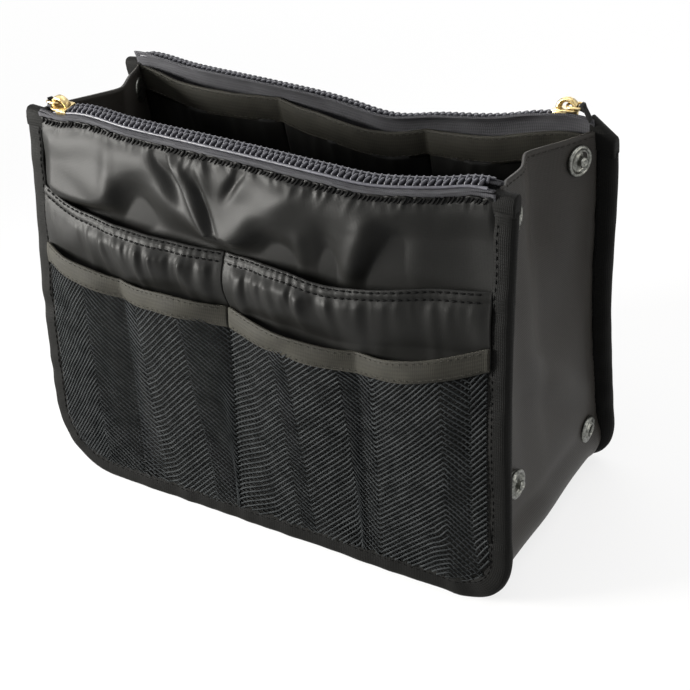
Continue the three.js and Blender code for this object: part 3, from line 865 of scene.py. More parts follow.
@dataclass
class Dressing:
    """Every finish of the organizer, made once."""

    satin: bpy.types.Material
    lining: bpy.types.Material
    net: bpy.types.Material
    grosgrain: bpy.types.Material
    binding: bpy.types.Material
    gusset: bpy.types.Material
    tape: bpy.types.Material
    teeth: bpy.types.Material
    thread: bpy.types.Material
    gold: bpy.types.Material
    nickel: bpy.types.Material

    @classmethod
    def make(cls) -> "Dressing":
        """Makes the materials.

        Returns:
            The set of them.
        """
        return cls(
            # Calendered nylon taffeta: a fine tight weave with a wet-looking sheen along its folds
            satin=WovenCloth(
                "nylon_taffeta", "0a0a09", "121211", warp_mm=0.7, weft_mm=0.7, warp_share=0.5,
                relief_mm=0.025, roughness=0.52, specular=0.12, sheen=0.03, sheen_tint="8a8880",
                blotch_mm=25, crinkle_mm=1.8, crinkle=1.0,
            ).make(),
            # Thin polyester lining: matt plain weave; also laid on the satin behind the nets as painted shade
            lining=WovenCloth(
                "polyester_lining", "0a0a09", "131312", warp_mm=0.8, weft_mm=0.8, warp_share=0.5,
                relief_mm=0.05, roughness=0.65, specular=0.1, sheen=0.05, sheen_tint="6a6860",
            ).make(),
            # Knitted polyester net: round charcoal strands; the dark gaps between them show the pocket
            # behind, which carries painted shade
            net=Moulded(
                "knitted_net", "2d2f30", "1d1f20", metallic=0.0, roughness=0.75, grain_mm=6.0, specular=0.05
            ).make(),
            # Grosgrain ribbon: weft ribs, bumped and painted light and dark, that read as fine upright lines
            grosgrain=WovenCloth(
                "grosgrain_ribbon", "1b1a17", "2b2a25", warp_mm=0.9, weft_mm=1.8, warp_share=0.55,
                relief_mm=0.08, roughness=0.65, specular=0.12, sheen=0.12, sheen_tint="9a968a",
                blotch_mm=9,
            ).make(),
            # Folded twill tape: dull black with a fine rib
            binding=WovenCloth(
                "binding_tape", "060606", "0d0d0c", warp_mm=0.9, weft_mm=1.4, warp_share=0.6,
                relief_mm=0.12, roughness=0.68, specular=0.08, sheen=0.05, sheen_tint="77756c",
                blotch_mm=18,
            ).make(),
            # Coated oxford cloth: coarser plain weave, dull warm grey
            gusset=WovenCloth(
                "oxford_cloth", "171513", "24221f", warp_mm=0.9, weft_mm=0.9, warp_share=0.5,
                relief_mm=0.07, roughness=0.52, specular=0.2, sheen=0.15, sheen_tint="8a8680",
                blotch_mm=40, crinkle_mm=2.5, crinkle=0.5,
            ).make(),
            # Zip tape: ribbed polyester, cooler than the cloth
            tape=WovenCloth(
                "zip_tape", "2f2f31", "48484b", warp_mm=0.9, weft_mm=1.6, warp_share=0.6,
                relief_mm=0.12, roughness=0.8, specular=0.02, sheen=0.02, sheen_tint="9a9aa2",
                blotch_mm=16,
            ).make(),
            # Moulded acetal teeth: smooth and slightly waxy
            teeth=Moulded(
                "moulded_acetal", "46464d", "34343a", metallic=0.0, roughness=0.45, grain_mm=2.0, specular=0.4
            ).make(),
            # Spun polyester thread: dull and black
            thread=Moulded(
                "polyester_thread", "0a0a0a", "060606", metallic=0.0, roughness=0.75, grain_mm=0.6,
                specular=0.06,
            ).make(),
            # Gold-plated zinc: bright, worn to a browner tone in random patches
            gold=Moulded(
                "gold_plated_zinc", "c9b688", "7d6639", metallic=1.0, roughness=0.3, grain_mm=1.5
            ).make(),
            # Nickel-plated brass gone dark with handling
            nickel=Moulded(
                "dark_nickel", "7d7e79", "4a4b48", metallic=1.0, roughness=0.34, grain_mm=1.2
            ).make(),
        )


def settle(
    piece: bpy.types.Object,
    body: str,
    stands_for: Sequence[str] = (),
) -> bpy.types.Object:
    """Attaches a piece to its body and hides the nodes it stands for.

    Args:
        piece: the piece, in place.
        body: what it moves with.
        stands_for: nodes that it replaces.

    Returns:
        The piece.
    """
    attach(piece, body)
    if stands_for:
        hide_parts(*stands_for)
    LOG.info("%s rides on %s", piece.name, body)
    return piece


# Walls


# Overlock turns along a panel's top, black and close so that they also paint the dark shade line along the
# seam: places across the seam, heights and the distance between turns
OVERLOCK_ACROSS = np.array([-1.3, -0.5, 0.5, 1.3])
OVERLOCK_LIFT = np.array([-0.3, 0.35, 0.35, -0.3])
OVERLOCK_PITCH = 2.1


@dataclass
class FacePanel:
    """Outer face of a zip pouch, loose and folded above the pockets."""

    wall: Wall
    prefix: str
    seed: int
    folds: tuple[Fold, ...]
    puff: Curve
    crest: Curve
    pucker: Curve
    top: float = 191.4
    stitch: float = 190.1
    thickness: float = 0.8
    fold_half: float = 125.0
    puff_run: float = 40.0
    pressed: float = 138.0
    sway: float = 0.35
    sway_wave: float = 42.0
    sway_start: float = 120.0
    ragged: float = 0.45
    side_hem: float = 8.0
    fullest: float = 12.0
    frill_end: float = 124.0
    cover: float = 0.95
    cover_start: float = 172.0
    cover_half: float = 127.0
    cut: tuple[float, float] = (266, 189)
    area: float = 49000

    def puffed(self, x: Array, v: Array) -> Array:
        """Swell of the loose cloth below the zip, which falls back from its crest to the pockets.

        Args:
            x: places across the wall.
            v: places up the wall.

        Returns:
            Heights of 0 and up.
        """
        drop = np.clip((self.stitch - 0.5 - v) / self.puff_run, 0.0, 1.0)
        crest = self.crest.at(x)
        fall = 0.9 * ease((drop - crest) / (1.02 - crest))
        swelling = 1 - (1 - np.clip(drop / crest, 0.0, 1.0)) ** 1.5 - fall
        return self.puff.at(x) * swelling * ease((v - self.pressed) / 8)

    def gathered(self, x: Array, v: Array) -> Array:
        """Puckers and frill that the seam under the zip draws in the cloth.

        Args:
            x: places across the wall.
            v: places up the wall.

        Returns:
            Heights, below zero above the seam.
        """
        seam = Puckers(self.seed + 1, -SEAM_END, SEAM_END, spacing=5.0, depth=1.1, reach=5.0, lean=0.6)
        ends = (-self.frill_end, self.frill_end)
        frill = Puckers(self.seed + 2, *ends, spacing=3.2, depth=0.9, reach=2.2, lean=0.2)
        drawn = self.pucker.at(x) * seam.height(x, np.maximum(self.stitch - v, 0.0))
        edge = frill.height(x, np.abs(v - self.stitch + 0.4)) - 0.5 * ease((v - self.stitch) / 0.9)
        return drawn * ease((self.stitch + 0.4 - v) / 2.5) + edge

    def over_tape(self, x: Array, v: Array) -> Array:
        """Climb of the cloth over the zip tape, with the groove of its seam.

        Args:
            x: places across the wall.
            v: places up the wall.

        Returns:
            Heights of 0 and up.
        """
        groove = 0.7 * np.exp(-(((v - self.stitch) / 0.9) ** 2))
        over = outer_tape(v) + self.cover - STACK_HALF - groove
        climb = ease((v - self.cover_start) / (TAPE_FOOT - self.cover_start))
        slope = (TAPE_HALF + self.cover - STACK_HALF) * climb
        return np.where(v > TAPE_FOOT, over, slope) * ease((self.cover_half - np.abs(x)) / 4)

    def height(self, x: Array, v: Array) -> Array:
        """Stand-off of the cloth: folds above the pockets, pressed flat behind them.

        Args:
            x: places across the wall.
            v: places up the wall.

        Returns:
            Distances out of the wall's middle plane.
        """
        loose = np.sin(math.pi * np.clip((x + self.fold_half) / (2 * self.fold_half), 0, 1)) ** 0.5
        below = ease((self.top - 2 - v) / 14) * ease((v - self.sway_start) / 26)
        total = self.puffed(x, v) + self.sway * rumple(x, v, self.seed, self.sway_wave) * below
        for fold in self.folds:
            total += fold.at(x, v) * loose
        total += self.gathered(x, v)
        edge = ease((WIDTH / 2 - self.side_hem - np.abs(x)) / 10)
        room = np.maximum(satin_depth(x, v) - STACK_HALF - 0.9, 0.0) + 6 * ease((v - SATIN_TOP + 4) / 10)
        limit = np.where(v < SATIN_TOP + 6, room, self.fullest)
        return STACK_HALF + np.clip(total * edge, 0.0, limit) + self.over_tape(x, v)

    def build(self, dressing: Dressing) -> None:
        """Makes the panel and the overlock turns along its top, which also paint the seam's shade line.

        Args:
            dressing: the finishes.
        """

        def place(u: Array, w: Array) -> tuple[Array, Array]:
            """Lays the grid on the wall, closer towards the top.

            Args:
                u: grid shares across.
                w: grid shares up.

            Returns:
                Places in millimetres and cloth coordinates.
            """
            x = (u - 0.5) * (WIDTH - 2 * PANEL_EDGE)
            floor = wall_floor(x, PANEL_EDGE)
            top = self.top + self.ragged * rumple(x, np.zeros_like(x), self.seed + 3, 5.0)
            v = floor + (top - floor) * w**0.55
            return self.wall.place(x, self.height(x, v), v), np.stack([x, v], axis=-1)

        body = f"{self.prefix}_wall"
        piece = cloth(f"{self.prefix}_face", 300, 110, place, dressing.satin, self.thickness)
        nodes = [f"{self.prefix}_face_panel", f"{self.prefix}_foam_sheet"]
        settle(piece, body, nodes)
        # Black thread turns along the seam, which also stand in for the seam's shade: painted shade
        rng = np.random.default_rng(self.seed + 4)
        turns = []
        for spot in np.arange(-TAPE_END + 2, TAPE_END - 3, OVERLOCK_PITCH):
            v = self.stitch + OVERLOCK_ACROSS * rng.uniform(0.75, 1.2)
            x = spot + 0.7 * OVERLOCK_ACROSS + rng.uniform(-0.3, 0.3)
            turns.append(self.wall.place(x, self.height(x, v) + OVERLOCK_LIFT, v))
        thread = strands(f"{self.prefix}_face_stitch", turns, 0.55, dressing.thread)
        settle(thread, body)


@dataclass
class LiningPanel:
    """Inner face of a zip pouch."""

    wall: Wall
    prefix: str
    seed: int
    top: float = 188.0
    thickness: float = 0.6
    side_hem: float = 8.0
    sway: float = 0.45
    sway_wave: float = 45.0
    fullest: float = 2.0
    cut: tuple[float, float] = (266, 187)
    area: float = 48500

    def build(self, dressing: Dressing) -> None:
        """Makes the panel.

        Args:
            dressing: the finishes.
        """

        def place(u: Array, w: Array) -> tuple[Array, Array]:
            """Lays the grid on the wall's inner side.

            Args:
                u: grid shares across.
                w: grid shares up.

            Returns:
                Places in millimetres and cloth coordinates.
            """
            x = (u - 0.5) * (WIDTH - 2 * PANEL_EDGE)
            floor = wall_floor(x, PANEL_EDGE)
            v = floor + (self.top - floor) * w
            sides = ease((WIDTH / 2 - self.side_hem - np.abs(x)) / 12)
            puckers = Puckers(self.seed + 1, -SEAM_END, SEAM_END, spacing=7.0, depth=0.8, reach=14.0)
            loose = self.sway * rumple(x, v, self.seed, self.sway_wave)
            loose *= sides * ease((self.top - v) / 20) * ease((v - floor) / 20)
            gather = puckers.height(x, np.maximum(self.top - 5 - v, 0.0)) * ease((self.top - 4 - v) / 5)
            d = -STACK_HALF - np.clip(loose + gather * sides, -CLOTH_GAP, self.fullest)
            return self.wall.place(x, d, v), np.stack([x, v], axis=-1)

        piece = cloth(f"{self.prefix}_lining", 150, 80, place, dressing.lining, self.thickness, flip=True)
        node = f"{self.prefix}_lining_panel"
        settle(piece, f"{self.prefix}_wall", [node])


# How far the net and its ribbon stand above or below their cut height
BAND_LIFT = Curve(
    (
        (-126, 7), (-112, 5.5), (-96, 3.5), (-76, 0), (-40, 0.5), (-12, -2),
        (31, -5), (64, -6), (98, -1), (114, 3), (126, 7),
    )
)


@dataclass
class SatinPocket:
    """Flat pocket with a gathered, twice-stitched hem."""

    wall: Wall
    prefix: str
    name: str
    left: float
    right: float
    hem: Curve
    gather: Curve
    seed: int
    thickness: float = 0.7
    upper_row: float = 1.4
    lower_row: float = 4.8
    stitch_pitch: float = 3.4
    stitch_radius: float = 0.5
    bulge: float = 4.2
    bulge_run: float = 28.0
    cut_height: float = 140
    area_height: float = 135

    def mouth(self, x: Array) -> Array:
        """Height of the hem's upper edge along the cloth."""
        return self.wall.held(x, self.hem.at(x))

    def depth(self, x: Array, v: Array) -> Array:
        """Stand-off of the pocket's outer side with its hem and gathers.

        Args:
            x: places across the wall.
            v: places up the wall.

        Returns:
            Distances out of the wall's middle plane.
        """
        below = self.mouth(x) - v
        base = satin_depth(x, np.minimum(v, SATIN_TOP)) + 0.8
        pull = self.gather.at(x)
        upper = ease((v - 100) / 35)
        roll = 0.5 * np.clip(1 - ((below - 2.6) / 3.4) ** 2, 0, 1)
        roll += self.bulge * pull * np.sin(math.pi * np.clip(below / self.bulge_run, 0, 1))
        groove = 0.4 * np.exp(-(((below - self.lower_row) / 0.9) ** 2))
        groove += 0.25 * np.exp(-(((below - self.upper_row) / 0.6) ** 2))
        ends = (self.left, self.right)
        deep = Puckers(self.seed, *ends, spacing=10.5, depth=3.0, reach=24.0, lean=0.1, broad=0.34)
        short = Puckers(self.seed + 3, *ends, spacing=4.6, depth=1.3, reach=9.0, lean=0.14, broad=0.34)
        ruffle = Puckers(self.seed + 1, *ends, spacing=3.4, depth=0.6, reach=3.0, lean=0.1)
        away = np.maximum(below - self.lower_row, 0.0)
        gathers = deep.height(x, away) + short.height(x, away)
        wrinkles = gathers * ease((below - 3.6) / 6) + ruffle.height(x, np.abs(below - 3.2))
        seam = ease((x - self.left - 1) / 8) * ease((self.right - 1 - x) / 8)
        soft = 0.5 * rumple(x, v, self.seed + 2, 30.0) * upper
        return base + (roll - groove) + (wrinkles * pull + soft) * seam

    def paint_net_shade(self, piece: bpy.types.Object, net_shade_finish: bpy.types.Material) -> None:
        """Paints shade on the pocket where the net covers it, by giving those faces the duller lining finish.

        Args:
            piece: the pocket.
            net_shade_finish: the duller finish that paints the shade behind the net.
        """
        mesh = piece.data
        mesh.materials.append(net_shade_finish)
        lay = np.empty(len(mesh.loops) * 2, np.float32)
        mesh.uv_layers[0].data.foreach_get("uv", lay)
        first = np.empty(len(mesh.polygons), np.int32)
        mesh.polygons.foreach_get("loop_start", first)
        x, v = (lay.reshape(-1, 2)[first] / MM).T
        net_shade_mask = v < self.wall.held(x, NET_TOP + 3 + BAND_LIFT.at(x))
        mesh.polygons.foreach_set("material_index", net_shade_mask.astype(np.int32))

    def build(self, dressing: Dressing) -> None:
        """Makes the pocket and its hem stitches.

        Args:
            dressing: the finishes.
        """

        def place(u: Array, w: Array) -> tuple[Array, Array]:
            """Lays the grid on the pocket, closer towards its hem.

            Args:
                u: grid shares across.
                w: grid shares up.

            Returns:
                Places in millimetres and cloth coordinates.
            """
            x = self.left + (self.right - self.left) * u
            floor = wall_floor(x, POCKET_EDGE - 1.5)
            v = floor + (self.mouth(x) - floor) * w**0.6
            return self.wall.place(x, self.depth(x, v), v), np.stack([x, v], axis=-1)

        body = f"{self.prefix}_wall"
        wide = self.right - self.left
        piece = cloth(
            f"{self.prefix}_satin_{self.name}", int(wide / 0.75), 110, place, dressing.satin, self.thickness
        )
        # Painted shade: the net's gaps show a duller finish on the pocket behind
        if self.wall is FRONT:
            self.paint_net_shade(piece, dressing.lining)
        node = f"{self.prefix}_satin_pocket_{self.name}"
        settle(piece, body, [node])
        for row, drop in (("upper", self.upper_row), ("lower", self.lower_row)):
            x = np.arange(self.left + 1, self.right - 1, 0.8)
            v = self.mouth(x) - drop
            path = self.wall.place(x, self.depth(x, v) + 0.1, v)
            face = np.tile(np.array(self.wall.out), (len(x), 1))
            name = f"{self.prefix}_hem_{self.name}_{row}"
            thread = stitches(name, path, face, self.stitch_pitch, self.stitch_radius, dressing.thread)
            settle(thread, body)


@dataclass
class NetPocket:
    """Net pocket of chevron strands crossed by thinner threads.

    The strands are drawn coarser and further apart than they are, so that the chevrons show.
    """

    number: int
    left: float
    right: float
    turns: tuple[float, ...]
    first_slope: int
    drift: float = 0.0
    rise_slope: float = 0.85
    fall_slope: float = 0.8
    pitch: float = 2.7
    step: float = 2.2
    strand: float = 0.46
    tie: float = 0.26
    tie_sunk: float = 0.35
    cut_height: float = 105
    area_height: float = 100

    def surface(self, x: Array, v: Array, sunk: float = 0.0) -> Array:
        """Places on the net.

        Args:
            x: places across the wall.
            v: places up the net as it was cut.
            sunk: how far they lie below the net's outer side.

        Returns:
            Places in the object's frame, in millimetres.
        """
        share = np.clip(v / NET_TOP, 0, 1) ** 2
        seam = ease((x - self.left) / 14) * ease((self.right - x) / 14)
        x = x + self.drift * (NET_TOP - v) * seam
        loose = 0.5 * rumple(x, v, 60 + self.number, 26.0) * seam
        depth = net_depth(x, v) + 0.4 + loose - sunk
        return FRONT.place(x, depth, FRONT.held(x, v + BAND_LIFT.at(x) * share))

    def zigzag(self, x: Array) -> Array:
        """Runs a chevron line along the pocket.

        Args:
            x: places across the wall.

        Returns:
            Heights of the line above its start.
        """
        edges = [self.left, *self.turns, self.right]
        heights = [0.0]
        slope = self.first_slope
        for a, b in zip(edges, edges[1:]):
            grade = self.rise_slope if slope > 0 else -self.fall_slope
            heights.append(heights[-1] + grade * (b - a))
            slope = -slope
        return np.interp(x, edges, heights)

    def runs(self, x: Array, v: Array, sunk: float = 0.0) -> list[Array]:
        """Finds the stretches of a line that lie on the pocket.

        Args:
            x: the line's places across the wall.
            v: its places up the net.
            sunk: how far it lies below the net's outer side.

        Returns:
            The places along each stretch.
        """
        inside = (v > wall_floor(x, POCKET_EDGE - 1)) & (v < NET_TOP + 3)
        found, start = [], None
        for k, keep in enumerate([*inside, False]):
            if keep and start is None:
                start = k
            if not keep and start is not None:
                if k - start > 1:
                    found.append(self.surface(x[start:k], v[start:k], sunk))
                start = None
        return found

    def build(self, dressing: Dressing) -> None:
        """Makes the strands and the threads that cross them.

        Args:
            dressing: the finishes.
        """
        x = np.unique([*np.arange(self.left, self.right - 1, self.step), *self.turns, self.right])
        line = self.zigzag(x)
        paths = []
        for low in np.arange(-line.max() - 4, NET_TOP - line.min() + 4, self.pitch):
            paths += self.runs(x, line + low)
        name = f"front_net_{self.number}"
        net = strands(name, paths, self.strand, dressing.net)
        node = f"front_net_pocket_{self.number}"
        settle(net, "front_wall", [node])
        crossing = []
        for low in np.arange(line.min() - 4, NET_TOP + line.max() + 4, self.pitch):
            crossing += self.runs(x, low - line, self.tie_sunk)
        ties = strands(f"{name}_ties", crossing, self.tie, dressing.net)
        settle(ties, "front_wall")


@dataclass
class Ribbon:
    """Ribbed ribbon sewn over pocket mouths."""

    wall: Wall
    name: str
    node: str
    left: float
    right: float
    low: float
    high: float
    lift: Curve
    depth: Callable[[Array, Array], Array]
    outward: int
    seed: int
    thickness: float = 1.1
    ease_in: float = 1.03
    crown: float = 0.5
    sway: float = 0.35
    hem: float = 1.3

    def surface(self, x: Array, v: Array) -> Array:
        """Places on the ribbon's outer side.

        Args:
            x: places across the wall.
            v: places up the wall, before the ribbon is lifted.

        Returns:
            Places in the object's frame, in millimetres.
        """
        middle = (v - self.low) / (self.high - self.low) - 0.5
        crown = self.crown * (1 - (2 * middle) ** 2)
        wave = self.sway * rumple(x, v, self.seed, 24.0)
        d = self.outward * (self.depth(x, v) + 1.3 + crown + wave)
        v = v + self.lift.at(x)
        return self.wall.place(x, d, self.wall.held(x, v) if self.outward > 0 else v)

    def build(self, dressing: Dressing, body: str) -> None:
        """Makes the ribbon and its two rows of stitches.

        Args:
            dressing: the finishes.
            body: what it moves with.
        """

        def place(u: Array, w: Array) -> tuple[Array, Array]:
            """Lays the grid on the ribbon.

            Args:
                u: grid shares across.
                w: grid shares up.

            Returns:
                Places in millimetres and cloth coordinates.
            """
            x = self.left + (self.right - self.left) * u
            v = self.low + (self.high - self.low) * w
            return self.surface(x, v), np.stack([x, v], axis=-1)

        wide = self.right - self.left
        flip = self.outward < 0
        piece = cloth(self.name, int(wide / 1.2), 12, place, dressing.grosgrain, self.thickness, flip=flip)
        settle(piece, body, [self.node])
        x = np.arange(self.left + 0.8, self.right - 0.8, 1.2)
        face = np.tile(np.array(self.wall.out) * self.outward, (len(x), 1))
        for row, v in (("low", self.low + self.hem), ("high", self.high - self.hem)):
            path = self.surface(x, np.full_like(x, v))
            thread = stitches(f"{self.name}_stitch_{row}", path, face, 3.2, 0.3, dressing.grosgrain)
            settle(thread, body)


@dataclass
class InnerPocket:
    """Flat pocket on the back wall's lining."""

    name: str
    left: float
    right: float
    seed: int
    top: float = INNER_TOP + INNER_LIFT + 1
    thickness: float = 0.7
    cut_height: float = 162
    area_height: float = 158

    def build(self, dressing: Dressing) -> None:
        """Makes the pocket.

        Args:
            dressing: the finishes.
        """

        def place(u: Array, w: Array) -> tuple[Array, Array]:
            """Lays the grid on the pocket.

            Args:
                u: grid shares across.
                w: grid shares up.

            Returns:
                Places in millimetres and cloth coordinates.
            """
            x = self.left + (self.right - self.left) * u
            floor = wall_floor(x, GUSSET_INSET + 2.5)
            v = floor + (self.top - floor) * w
            seam = ease((x - self.left) / 10) * ease((self.right - x) / 10)
            gather = Puckers(self.seed, self.left, self.right, spacing=8.0, depth=1.0, reach=30.0, lean=0.15)
            soft = 0.6 * rumple(x, v, self.seed + 1, 34.0) * ease((v - 40) / 60)
            loose = (gather.height(x, self.top - v) + soft) * seam
            return BACK.place(x, -(inner_depth(x, v) + 0.8 + loose), v), np.stack([x, v], axis=-1)

        piece = cloth(f"inner_{self.name}", 70, 80, place, dressing.lining, self.thickness, flip=True)
        node = f"inner_pocket_{self.name}"
        settle(piece, "back_wall", [node])


def round_the_edge(s: Array, top: float, inset: float) -> tuple[Array, Array, Array, Array]:
    """Goes down a wall's left side, along its foot and up its right side.

    Args:
        s: distances from the left top end.
        top: height of both ends.
        inset: margin from the wall's edge.

    Returns:
        Place (across, up) and inward direction (across, up).
    """
    radius = CORNER - inset
    straight = top - CORNER
    arc = math.pi / 2 * radius
    base = WIDTH - 2 * CORNER
    a = np.clip((s - straight) / radius, 0, math.pi / 2)
    b = np.clip((s - straight - arc - base) / radius, 0, math.pi / 2)
    down = np.clip(s, 0, straight)
    along = np.clip(s - straight - arc, 0, base)
    up = np.clip(s - straight - 2 * arc - base, 0, straight)
    x = -WIDTH / 2 + inset + radius * (1 - np.cos(a)) + along + radius * np.sin(b)
    z = top - down - radius * np.sin(a) + radius * (1 - np.cos(b)) + up
    return x, z, np.cos(a + b), np.sin(a + b)


def edge_length(top: float, inset: float) -> float:
    """Length of the way round a wall's edge, for the same top and inset."""
    return 2 * (top - CORNER) + math.pi * (CORNER - inset) + WIDTH - 2 * CORNER


# Section of the folded tape: distance in from the wall's edge, and out of its middle plane
BINDING_SECTION = (
    (9.5, 2.3), (9.6, 2.7), (9.4, 3.1), (7.0, 3.25), (4.5, 3.2), (2.4, 3.1), (1.0, 2.5), (0.2, 1.3),
    (0.0, 0.0), (0.2, -1.3), (1.0, -2.5), (2.4, -3.1), (4.5, -3.2), (7.0, -3.25), (9.4, -3.1),
    (9.6, -2.7), (9.5, -2.3), (5.0, -2.3), (1.8, -2.1), (1.5, 0.0), (1.8, 2.1), (5.0, 2.3), (9.5, 2.3),
)


@dataclass
class Binding:
    """Folded tape round the sides and foot of a wall."""

    wall: Wall
    prefix: str
    seed: int
    cut_width: float = 26
    stitch_in: float = 7.9
    stitch_out: float = 3.25
    length: float = edge_length(BINDING_TOP, 0.0)

    def spot(self, s: Array, e: Array, d: Array) -> Array:
        """Places on the tape, which wavers a little.

        Args:
            s: distances along the tape.
            e: distances in from the wall's edge.
            d: distances out of its middle plane.

        Returns:
            Places in the object's frame, in millimetres.
        """
        x, v, nx, nv = round_the_edge(s, BINDING_TOP, 0.0)
        flat = np.zeros_like(s)
        wobble = 0.5 * rumple(s, flat, self.seed, 26.0) * ease(e / 6)
        e = e + wobble * 0.6
        d = d * (1 + 0.12 * rumple(s, flat, self.seed + 1, 15.0))
        return self.wall.place(x + nx * e, d, v + nv * e)

    def build(self, dressing: Dressing) -> None:
        """Makes the tape and a row of stitches on either face.

        Args:
            dressing: the finishes.
        """
        inward, depth = np.array(BINDING_SECTION).T
        around = np.concatenate([[0], np.cumsum(np.hypot(np.diff(inward), np.diff(depth)))])
        last = len(BINDING_SECTION) - 1

        def place(u: Array, w: Array) -> tuple[Array, Array]:
            """Lays the grid round the section and along the tape.

            Args:
                u: grid shares across.
                w: grid shares up.

            Returns:
                Places in millimetres and cloth coordinates.
            """
            k = np.rint(u * last).astype(int)
            s = w * self.length
            return self.spot(s, inward[k], depth[k]), np.stack([around[k], s], axis=-1)

        body = f"{self.prefix}_wall"
        piece = cloth(f"{self.prefix}_edge_binding", last, 300, place, dressing.binding, ring=True)
        node = f"{self.prefix}_binding"
        settle(piece, body, [node])
        s = np.arange(1.0, self.length - 1, 1.5)
        for face, sign in (("outer", 1), ("inner", -1)):
            path = self.spot(s, np.full_like(s, self.stitch_in), np.full_like(s, self.stitch_out * sign))
            out = np.tile(np.array(self.wall.out) * sign, (len(s), 1))
            thread = stitches(f"{self.prefix}_binding_stitch_{face}", path, out, 3.4, 0.3, dressing.thread)
            settle(thread, body)


# The slider, seen from above and along the chain from its own middle: outline of its plates, the plates'
# levels with their share of the outline, its flanges and post by size and place, section of its bridge
SLIDER_OUTLINE = (
    (5.5, -4.0), (5.5, 4.0), (0.5, 4.4), (-2.5, 4.4), (-4.4, 3.5), (-5.5, 1.8),
    (-5.5, -1.8), (-4.4, -3.5), (-2.5, -4.4), (0.5, -4.4),
)
SLIDER_PLATES = ((193.85, 195.05, 0.5), (198.4, PLATE_TOP, 1.0))
SLIDER_BLOCKS = (
    ((6.5, 0.8, 2.4), (2.2, 3.9, 197.5)),
    ((6.5, 0.8, 2.4), (2.2, -3.9, 197.5)),
    ((2.2, 1.6, 4.0), (-4.0, 0.0, 196.6)),
)
BRIDGE_SECTION = (
    (3.2, -1.5), (4.2, -1.9), (5.1, -1.5), (5.3, 0.0), (5.1, 1.5), (4.2, 1.9), (3.2, 1.5), (3.0, 0.0),
)
BRIDGE_FOOT = PLATE_TOP - 0.2

# The pull: thickness and radius of its wire loop, how far the loop is drawn out, outline of its ribbon
WIRE = 0.65
LOOP_RADIUS = 2.65
LOOP_STRETCH = 2.25
RIBBON_OUTLINE = (
    (1.7, -0.9), (1.7, 0.9), (0.9, 1.55), (-0.9, 1.55), (-2.6, 0.75), (-10.9, 0.6),
    (-10.9, -0.6), (-2.6, -0.75), (-0.9, -1.55), (0.9, -1.55),
)
RIBBON_WIDTH = 3.5

# Section of the folded cloth over a zip's end: out of the wall, up the wall
END_TAB_SECTION = (
    (-3.2, 185), (3.2, 185), (3.5, 189), (3.3, 192), (2.2, 194),
    (0, 194.7), (-2.2, 194.4), (-3.3, 192.5), (-3.5, 189),
)


@dataclass(frozen=True)
class Limp:
    """How a pull's ribbon lies: its run along the zip and aside, and how it drops with its length."""

    along: float
    aside: float
    drop: float


